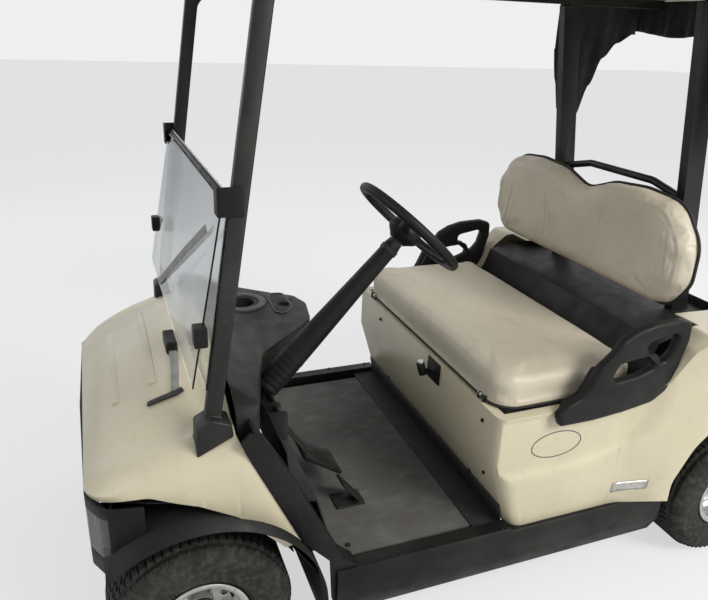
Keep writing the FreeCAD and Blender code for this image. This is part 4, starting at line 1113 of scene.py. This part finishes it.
def windshield_straps():
    """Block that holds the folded upper pane on the hood, a grey strap and black foot laid on the hood as painted
    shadow of the post and clip, and the clip at the pane's far edge.
    """
    surfaces = surface_of(DRESSED["front_cowl"])

    def on_hood(x, s, lift):
        return laid(surfaces, at(x, s, 0.74), (0, 0, -1), lift, 0.5)

    # Grey strap and black foot laid on the hood: painted shadow of the near post and the pane's clip
    shadow_strap_line = [on_hood(0.150, 0.004, 0.012), on_hood(0.190, 0.002, 0.004), on_hood(0.245, -0.004, 0.0025),
                  on_hood(0.300, -0.012, 0.0025)]
    shadow_strap = strap("painted_shadow_strap", shadow_strap_line, 0.020, 0.0022, (0, 0, 1), M["strap_grey_and_painted_shadow"])
    shadow_foot_line = [on_hood(0.296, -0.078, 0.003), on_hood(0.303, -0.045, 0.003), on_hood(0.308, -0.010, 0.003),
                 on_hood(0.305, 0.006, 0.003)]
    foot = strap("painted_shadow_strap_foot", shadow_foot_line, [0.020, 0.022, 0.024, 0.018], 0.006, (0, 0, 1), M["rubber"])
    low, high = on_hood(0.080, -0.016, 0.0), on_hood(0.160, 0.020, 0.0)
    holder = rounded_block("pane_rest", (0.075, low.y, low.z - 0.004), (0.165, low.y + 0.030, high.z + 0.026),
                           0.006, M["black"], 3)
    keeper = rounded_block("pane_keeper", at(0.075, 0.047, 0.768), at(0.165, 0.082, 0.826),
                           0.005, M["black"], 3)
    # The black foot joined here is painted shadow on the hood; the grey strap carried below is painted shadow too
    piece = joined("windshield_pane_rest_and_shadow_foot", [holder, keeper, foot])
    carry(piece, "chassis", "black_plastic")
    carry(shadow_strap, "chassis", "black_plastic")
    pane_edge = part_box("windshield_upper")[1].x
    clips = []
    for side in (-1, 1):
        spot = at(side * (pane_edge - 0.004), 0.034, 0.975)
        clips.append(rounded_block("pane_clip", (spot.x - 0.018, spot.y - 0.016, spot.z - 0.024),
                                   (spot.x + 0.018, spot.y + 0.014, spot.z + 0.024), 0.004, M["black"]))
    clip = joined("windshield_pane_clips", clips)
    carry(clip, "chassis", "black_plastic")
    run = [at(0.395, 0.068, 1.192), at(0.180, 0.044, 1.075), at(-0.048, 0.021, 0.947),
           at(-0.200, 0.006, 0.862)]
    cord = strap("pane_cross_strap", run, 0.020, 0.0016, (0, 1, 0.1), M["strap_grey_and_painted_shadow"])
    carry(cord, "chassis", "black_plastic")


def windshield_trims():
    """Hinge strip between the panes, with its screws."""
    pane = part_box("windshield_lower")[1]
    near = pane.x - 0.004
    strip_z = pane.z - 0.004
    strip_s = pane.y - AXLE_Y + 0.001
    line = [at(x, strip_s, strip_z) for x in (-near, 0, near)]
    strip = strap("windshield_hinge_strip", line, 0.034, 0.004, (0, 1, 0.2), M["zinc"])
    carry(strip, "chassis", "wheel_silver")
    places = []
    for i in range(7):
        x = -0.42 + 0.14 * i
        places.append((at(x, strip_s - 0.004, strip_z), (0, -1, 0.1)))
        places.append((at(x, strip_s + 0.004, strip_z), (0, 1, -0.1)))
    screws = fasteners("windshield_hinge_screws", places, 0.006, 0.005, M["black"])
    carry(screws, "chassis", "black_plastic")


def dash_rings():
    """Raised rim round the cup well, and the dark trays of the cup and coin wells."""
    surfaces = surface_of(DRESSED["dashboard"])
    top = laid(surfaces, at(-0.255, 0.335, 0.80), (0, 0, -1), 0.0, 0.3).z

    def ring(x, s, radius):
        return [Vector((x + radius * cosine, s + radius * sine)) for cosine, sine in circle(48)]

    rim = plate_from("cup_rim", [ring(-0.255, 0.270, 0.080), ring(-0.255, 0.270, 0.057)], 0.010, 0.004,
                     lying(top + 0.002), M["dash_rim"])
    carry(joined("dash_cup_rim", [rim]), "chassis", "dash_plastic")
    cup = plate_from("cup_tray", [ring(-0.255, 0.270, 0.0585), ring(-0.255, 0.270, 0.0405)], 0.0024, 0.0008,
                     lying(top + 0.0008), M["black"])
    shape = outline([(-0.312, 0.383), (-0.262, 0.362), (-0.150, 0.358), (-0.128, 0.388), (-0.180, 0.424),
                     (-0.300, 0.421)], 0.018, 0.006)
    coin = plate_from("coin_tray", [shape, ring(-0.205, 0.400, 0.0190)], 0.0024, 0.0008,
                      lying(top + 0.0008), M["black"])
    edge_line = [at(p.x, p.y, top + 0.0015) for p in shape]
    edge = tube("coin_lip", edge_line, 0.0026, M["dash_rim"], 8, True)
    trays = joined("dash_well_trays", [cup, coin, edge])
    carry(trays, "chassis", "dash_plastic")


def hood_beads():
    """Shallow beads across the hood."""
    surfaces = surface_of(DRESSED["front_cowl"])
    parts = []
    for s, half, wide in ((-0.150, 0.215, 0.026), (-0.048, 0.235, 0.022)):
        line = []
        for i in range(41):
            x = -half + 2 * half * i / 40
            line.append(laid(surfaces, at(x, s - 0.10 * x * x, 0.72), (0, 0.2, -1), -0.0016, 0.5))
        parts.append(strap("bead", line, wide, 0.010, (0, -0.3, 1), M["body"], 5))
    beads = joined("hood_beads", parts)
    carry(beads, "chassis", "body_paint")


def side_plates():
    """Blank oval outline and blank badge on each side of the rear body."""
    surfaces = surface_of(DRESSED["rear_body"])
    # Badge corners as (s, z): top front, top back, low back, low front
    corners = [Vector(p) for p in ((1.222, 0.356), (1.333, 0.364), (1.331, 0.333), (1.220, 0.325))]
    for side, label in ((1, "left"), (-1, "right")):

        def on_side(s, z, lift):
            return laid(surfaces, at(side * 0.56, s, z), (-side, 0, 0), lift, 0.3)

        line = [on_side(0.999 + 0.083 * cosine, 0.5325 + 0.041 * sine, 0.0002) for cosine, sine in circle(48)]
        ring = tube(f"number_oval_{label}", line, 0.0016, M["decal"], 8, True)
        carry(ring, "chassis", "black_plastic")
        rows = []
        for j in range(5):
            row = []
            for i in range(9):
                head = corners[0].lerp(corners[1], i / 8)
                foot = corners[3].lerp(corners[2], i / 8)
                spot = head.lerp(foot, j / 4)
                row.append(on_side(spot.x, spot.y, 0.0012))
            rows.append(row)
        vertices, faces = rings_to_mesh(rows, closed_ring=False, caps=False)
        plate = thickened(mesh_piece(f"side_badge_{label}", vertices, faces, M["silver"]), 0.0024)
        carry(plate, "chassis", "wheel_silver")


def floor_details():
    """Rubber strip along the kick panel's foot, with the lip that runs up the panel."""
    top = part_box("floor_mat")[1].z
    line = [at(x, 0.822, top + 0.002) for x in (-0.506, -0.2, 0.1, 0.3, 0.506)]
    tread = strap("strip_tread", line, 0.092, 0.009, (0, 0, 1), M["rubber"])
    surfaces = surface_of(DRESSED["rear_body"])
    rings = []
    for i in range(49):
        x = -0.496 + 0.992 * i / 48
        head = laid(surfaces, at(x, 0.79, 0.345), (0, 1, 0), 0.0022, 0.2)
        rings.append([at(x, 0.862, top + 0.0005), Vector((x, head.y + 0.004, head.z - 0.022)), head])
    vertices, faces = rings_to_mesh(rings, closed_ring=False, caps=False)
    lip = thickened(mesh_piece("strip_lip", vertices, faces, M["rubber"]), 0.0022)
    strip = joined("kick_foot_strip", [tread, lip])
    carry(strip, "chassis", "mat_rubber")


def kick_panel_fittings():
    """Bolts on the kick panel and the shift lever's knob."""
    surfaces = surface_of(DRESSED["rear_body"])
    places = []
    for x, z in ((0.434, 0.600), (0.328, 0.348), (-0.300, 0.600), (-0.300, 0.348), (0.434, 0.420)):
        places.append((laid(surfaces, at(x, 0.80, z), (0, 1, 0), 0.001, 0.3), (0, -1, 0.1)))
    bolts = fasteners("kick_panel_bolts", places, 0.0065, 0.004, M["black"])
    carry(bolts, "chassis", "black_plastic")
    low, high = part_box("shift_lever")
    knob_line = [(-0.002, 0.0), (-0.002, 0.0105), (0.003, 0.0105), (0.005, 0.0085), (0.005, 0.0)]
    knob_place = ((low.x + high.x) / 2, low.y + 0.014, high.z - 0.001)
    knob = turned("shift_knob_cap", knob_line, knob_place, (0, -0.25, 1), M["zinc"], 28)
    carry(knob, "chassis", "wheel_silver")


def sill_details():
    """Screws along the sills and the studs of the mat."""
    surfaces = surface_of(DRESSED["rocker_left"], DRESSED["rocker_right"])
    places = []
    for side in (-1, 1):
        for s in (0.36, 0.52, 0.68, 0.84):
            places.append((laid(surfaces, at(side * 0.535, s, 0.30), (0, 0, -1), 0.001, 0.2), (0, 0, 1)))
    screws = fasteners("sill_screws", places, 0.005, 0.0025, M["black"])
    carry(screws, "chassis", "black_plastic")
    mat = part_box("floor_mat")[1].z
    studs = [((x, AXLE_Y + s, mat + 0.0008), (0, 0, 1)) for x, s in ((0.434, 0.409), (-0.434, 0.409))]
    heads = fasteners("mat_studs", studs, 0.008, 0.003, M["black"])
    carry(heads, "chassis", "black_plastic")


def build_small_parts():
    soften_side_step(DRESSED["rear_body"])
    armrest(1, "left")
    armrest(-1, "right")
    steering_wheel()
    column_shroud()
    wheel_arch_skin(1, "left")
    wheel_arch_skin(-1, "right")
    rain_curtain()
    windshield_trims()
    windshield_straps()
    dash_rings()
    hood_beads()
    side_plates()
    floor_details()
    kick_panel_fittings()
    sill_details()


# Seats

SEAT_RISE = 0.0975
SEAT_HINGES = (-0.39, 0.39)
# Edge radii of the pads, below and above
PAD_RIMS_SEAT = (0.012, 0.034)
PAD_RIMS_BACK = (0.010, 0.034)
PAD_VOXEL = 0.0085
PAD_PRESSURE = 4.0
PUFF_FRAMES = 20


def remeshed(piece, voxel):
    """An even closed skin over the piece, ready to be blown up."""
    modifier = piece.modifiers.new("voxels", "REMESH")
    modifier.mode = "VOXEL"
    modifier.voxel_size = voxel
    return settled(piece)


def pad_blank(name, flat, lift, depth, rims, material):
    """A closed pad over a 2-D outline. lift(u, v, w) places a point w above the outline's plane;
    rims are the edge radii below and above."""
    points = []
    for level, rim, way in ((0.0, rims[0], 1), (depth, rims[1], -1)):
        for k in range(5)[::way]:
            angle = math.pi / 2 * k / 4
            inset = rim * (1 - math.sin(angle))
            w = level + way * rim * (1 - math.cos(angle))
            points.append([lift(p.x, p.y, w) for p in drawn_in(flat, inset)])
    vertices, faces = rings_to_mesh(points)
    return mesh_piece(name, vertices, faces, material)


def drawn_in(flat, inset):
    """The outline moved inwards by an inset."""
    area = sum(flat[i - 1].x * p.y - p.x * flat[i - 1].y for i, p in enumerate(flat))
    turn = 1 if area > 0 else -1
    out = []
    for i, p in enumerate(flat):
        way = (flat[(i + 1) % len(flat)] - flat[i - 1]).normalized()
        out.append(p + Vector((-way.y, way.x)) * (inset * turn))
    return out


def puffed(piece, pressure, cap, held):
    """Blows the pad up with a short cloth simulation; no point moves more than the cap."""
    start = [v.co.copy() for v in piece.data.vertices]
    group = piece.vertex_groups.new(name="held")
    group.add([i for i, point in enumerate(start) if held(point)], 1.0, "REPLACE")
    cloth = piece.modifiers.new("puff", "CLOTH")
    cloth.settings.use_pressure = True
    cloth.settings.uniform_pressure_force = pressure
    cloth.settings.vertex_group_mass = "held"
    cloth.settings.effector_weights.gravity = 0
    scene = bpy.context.scene
    for number in range(1, PUFF_FRAMES + 1):
        scene.frame_set(number)
    made = piece.evaluated_get(bpy.context.evaluated_depsgraph_get())
    ends = [v.co.copy() for v in made.data.vertices]
    piece.modifiers.clear()
    piece.vertex_groups.clear()
    for vertex, a, b in zip(piece.data.vertices, start, ends):
        move = b - a
        vertex.co = a + move * (cap / max(cap, move.length))
    scene.frame_set(1)
    return piece


def line_points(points, step):
    """Even points along a 3-D polyline."""
    out = []
    for a, b in zip(points, points[1:]):
        a, b = Vector(a), Vector(b)
        parts = max(1, round((b - a).length / step))
        out += [a.lerp(b, k / parts) for k in range(parts)]
    return out + [Vector(points[-1])]


def creased(piece, lines, depth, width):
    """Presses seams into a pad along 3-D lines, with a slight roll on either side."""
    points = [point for line in lines for point in line_points(line, 0.003)]
    tree = kdtree.KDTree(len(points))
    for i, point in enumerate(points):
        tree.insert(point, i)
    tree.balance()
    mesh = piece.data
    normals = [v.normal.copy() for v in mesh.vertices]
    for vertex, normal in zip(mesh.vertices, normals):
        gap = tree.find(vertex.co)[2] / width
        if gap < 3:
            vertex.co += normal * depth * (0.30 * math.exp(-((gap - 1.7) ** 2) * 1.6) - math.exp(-gap * gap))
    mesh.update()
    return piece


def seat_cushion():
    """Bench cushion: crowned, rounded at its corners, with a gather at each front corner."""
    low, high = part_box("seat_cushion")
    grow = 0.010
    x = high.x + 0.0135
    front = low.y - AXLE_Y + 0.003
    back = high.y - AXLE_Y - grow
    corners = [(-x, front), (x, front), (x, back), (-x, back)]
    radii = [0.075, 0.075, 0.055, 0.055]
    flat = outline(corners, radii, 0.010)
    base = low.z - 0.0165

    def lift(u, v, w):
        along = (v - front) / (back - front)
        top = SEAT_RISE - 0.006 * along
        crown = 0.004 * (1 - (u / x) ** 4)
        return at(u, v - 0.006 * (1 - along) * (w > 0.03), base + w * (top + crown * (w > 0.05)) / SEAT_RISE)

    pad = remeshed(pad_blank("seat_cushion_pad", flat, lift, SEAT_RISE, PAD_RIMS_SEAT, M["vinyl"]), PAD_VOXEL)
    pad = puffed(pad, PAD_PRESSURE, grow - 0.001, lambda point: point.z < base + 0.006)
    pad = subdivided(pad, 1)
    top = high.z
    gathers = [[at(side * 0.492, 0.922, top - 0.062), at(side * 0.488, 0.930, top - 0.036),
                at(side * 0.470, 0.940, top - 0.012)] for side in (-1, 1)]
    creased(pad, gathers, 0.006, 0.0055)
    hem = [at(p.x, p.y, base + 0.012) for p in outline(corners, radii, 0.02)]
    creased(pad, [hem + hem[:1]], 0.002, 0.004)
    smooth(pad, 60)
    coat(pad.data, M["vinyl"])
    carry(pad, "seat", "seat_vinyl", "seat_cushion")
    welt_line = [at(p.x, p.y, base + 0.0035) for p in drawn_in(flat, 0.004)]
    welt = tube("seat_edge_trim", welt_line, 0.0042, M["rubber"], 8, True)
    carry(welt, "seat", "black_plastic")


def seat_leaves():
    """Hinge leaves under the board's front edge."""
    place = JOINTS["seat_lift"]["pos_m"]
    half = 0.0095
    eye_line = [(-half, 0.0), (-half, 0.0062), (half, 0.0062), (half, 0.0)]
    leaves = []
    for x in SEAT_HINGES:
        leaves.append(rounded_block("leaf", (x - half, place[1], place[2] - 0.004),
                                    (x + half, place[1] + 0.030, place[2] + 0.003), 0.0012, M["black"]))
        leaves.append(turned("eye", eye_line, (x, place[1], place[2]), (1, 0, 0), M["zinc"], 20))
    return leaves


def seat_board():
    """Board under the cushion with rounded corners and its hinge leaves."""
    low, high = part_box("seat_base")
    tabs = 0.0145
    x, front, back = high.x - 0.012, low.y - AXLE_Y + tabs + 0.006, high.y - AXLE_Y - 0.01
    flat = outline([(-x, front), (x, front), (x, back), (-x, back)], [0.070, 0.070, 0.050, 0.050], 0.012)
    thick = high.z - low.z - 0.0004

    def lift(u, v, w):
        return at(u, v, low.z + 0.0002 + w)

    board = pad_blank("seat_board", flat, lift, thick, (0.002, 0.002), M["black"])
    board = joined("seat_board", [board] + seat_leaves())
    carry(board, "seat", "black_plastic", "seat_base")


def backrest_outline():
    """The back's two-humped outline as (x, z) points and radii, from its CAD box."""
    low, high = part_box("backrest_cushion")
    half, top, foot = high.x - 0.008, high.z - 0.008, low.z + 0.008
    right = [(0.0, top - 0.055), (0.120, top - 0.012), (0.260, top), (0.405, top - 0.014),
             (half, top - 0.115), (half, foot + 0.090), (half - 0.060, foot)]
    radii = [0.09, 0.12, 0.30, 0.11, 0.11, 0.07, 0.07]
    return outline(right + [(-x, z) for x, z in right[:0:-1]], radii + radii[:0:-1], 0.010)


def backrest():
    """Back pad: full front face, a rolled band round its rim and the seams where the covers meet."""
    low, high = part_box("backrest_cushion")
    flat = backrest_outline()
    back = high.y - AXLE_Y - 0.0006
    depth = high.y - low.y - 0.012

    def lift(u, v, w):
        hollow = 0.007 * math.cos(min(1.0, abs(u) / 0.47) * math.pi / 2) * (w / depth)
        return at(u, back - w + hollow, v)

    pad = remeshed(pad_blank("backrest_pad", flat, lift, depth, PAD_RIMS_BACK, M["vinyl"]), PAD_VOXEL)
    pad = puffed(pad, PAD_PRESSURE, 0.0075, lambda point: point.y > high.y - 0.006)
    pad = subdivided(pad, 1)
    front = low.y - AXLE_Y + 0.006
    rim = [at(p.x, front + 0.006, p.y) for p in drawn_in(flat, 0.030)]
    creased(pad, [rim + rim[:1]], 0.0032, 0.0045)

    def both_sides(*lines):
        return [[at(side * x, front, z) for x, z in line] for side in (-1, 1) for line in lines]

    seams = both_sides([(0.352, 1.060), (0.364, 0.990), (0.380, 0.930), (0.396, 0.893)],
                       [(0.150, 1.075), (0.132, 1.010), (0.128, 0.940)])
    creased(pad, seams, 0.0030, 0.007)
    edge = both_sides([(0.402, 1.150), (0.420, 1.060), (0.428, 0.980), (0.424, 0.905)])
    creased(pad, edge, 0.0042, 0.005)
    smooth(pad, 60)
    coat(pad.data, M["vinyl"])
    carry(pad, "chassis", "seat_vinyl", "backrest_cushion")
    welt_line = [at(p.x, back - 0.003, p.y) for p in drawn_in(flat, -0.001)]
    welt = tube("backrest_edge_trim", welt_line, 0.0040, M["rubber"], 8, True)
    carry(welt, "chassis", "black_plastic")


def build_seats():
    seat_cushion()
    seat_board()
    backrest()


# Scene

# Share of the glow in what the camera sees of the floor
FLOOR_GLOW = 0.66


def add_camera():
    """Camera at the photograph's viewing angle."""
    azimuth, drop, roll = (math.radians(v) for v in (CAMERA_AZIMUTH, CAMERA_DROP, CAMERA_ROLL))
    level_x, level_y = -math.sin(azimuth), math.cos(azimuth)
    forward = Vector((level_x * math.cos(drop), level_y * math.cos(drop), -math.sin(drop)))
    level = forward.cross(Vector((0, 0, 1))).normalized()
    upright = level.cross(forward)
    right = level * math.cos(roll) + upright * math.sin(roll)
    up = upright * math.cos(roll) - level * math.sin(roll)
    data = bpy.data.cameras.new("camera")
    data.lens = CAMERA_LENS
    data.sensor_width = SENSOR
    data.clip_end = 50
    camera = placed("camera", data)
    turn = Matrix((right, up, -forward)).transposed().to_4x4()
    camera.matrix_world = Matrix.Translation(at(*CAMERA_PLACE)) @ turn
    bpy.context.scene.camera = camera


def add_lamp(name, place, target, size, power, colour=(1, 1, 1)):
    data = bpy.data.lights.new(name, "AREA")
    data.shape = "SQUARE"
    data.size = size
    data.energy = power
    data.color = colour
    lamp = placed(name, data)
    lamp.location = place
    lamp.rotation_euler = (Vector(target) - Vector(place)).to_track_quat("-Z", "Y").to_euler()


def pale_floor():
    """A plain floor that stays pale to the camera and takes the object's shadow."""
    material = bpy.data.materials.new("floor")
    material.use_nodes = True
    tree = material.node_tree
    shader = tree.nodes["Principled BSDF"]
    shader.inputs["Base Color"].default_value = (0.80, 0.80, 0.79, 1)
    shader.inputs["Roughness"].default_value = 0.9
    glow = wire(tree, "ShaderNodeEmission", {"Color": (0.93, 0.93, 0.93, 1)})
    path = wire(tree, "ShaderNodeLightPath", {})
    share = reckoned(tree, "MULTIPLY", path.outputs["Is Camera Ray"], FLOOR_GLOW)
    mix = wire(tree, "ShaderNodeMixShader", {0: share, 1: shader.outputs[0], 2: glow.outputs[0]})
    tree.links.new(mix.outputs[0], tree.nodes["Material Output"].inputs["Surface"])
    mesh = bpy.data.meshes.new("floor")
    mesh.from_pydata([(-30, -30, 0), (30, -30, 0), (30, 30, 0), (-30, 30, 0)], [], [(0, 1, 2, 3)])
    mesh.materials.append(material)
    floor = placed("floor", mesh)


def pale_world():
    """Even light from all round; the camera, glass and gloss see a pale backdrop."""
    world = bpy.data.worlds.new("studio")
    world.use_nodes = True
    tree = world.node_tree
    tree.nodes.clear()
    path = wire(tree, "ShaderNodeLightPath", {})
    seen = wire(tree, "ShaderNodeBackground", {"Color": (0.86, 0.865, 0.87, 1), "Strength": 1.0})
    light = wire(tree, "ShaderNodeBackground", {"Color": (0.92, 0.95, 1.0, 1), "Strength": 0.50})
    through = reckoned(tree, "MAXIMUM", path.outputs["Is Transmission Ray"], path.outputs["Is Glossy Ray"])
    either = reckoned(tree, "MAXIMUM", path.outputs["Is Camera Ray"], through)
    mix = wire(tree, "ShaderNodeMixShader", {0: either, 1: light.outputs[0], 2: seen.outputs[0]})
    wire(tree, "ShaderNodeOutputWorld", {"Surface": mix.outputs[0]})
    bpy.context.scene.world = world


def light_studio():
    add_lamp("key", (4.4, 2.4, 4.0), (0, 0, 0.6), 2.4, 300, (1.0, 0.98, 0.94))
    add_lamp("fill", (-3.6, -2.6, 3.0), (0, 0, 0.7), 4.0, 30)
    add_lamp("back", (-1.0, 4.0, 3.6), (0, 0, 0.7), 3.5, 40)
    add_lamp("front", (1.6, -4.6, 2.0), (0, 0.2, 0.7), 3.0, 30)


wear_cad_finishes()
dress_rigid_pieces()
build_wheels()
build_seats()
build_small_parts()
add_camera()
pale_floor()
pale_world()
light_studio()
bpy.context.scene.view_settings.view_transform = "Standard"
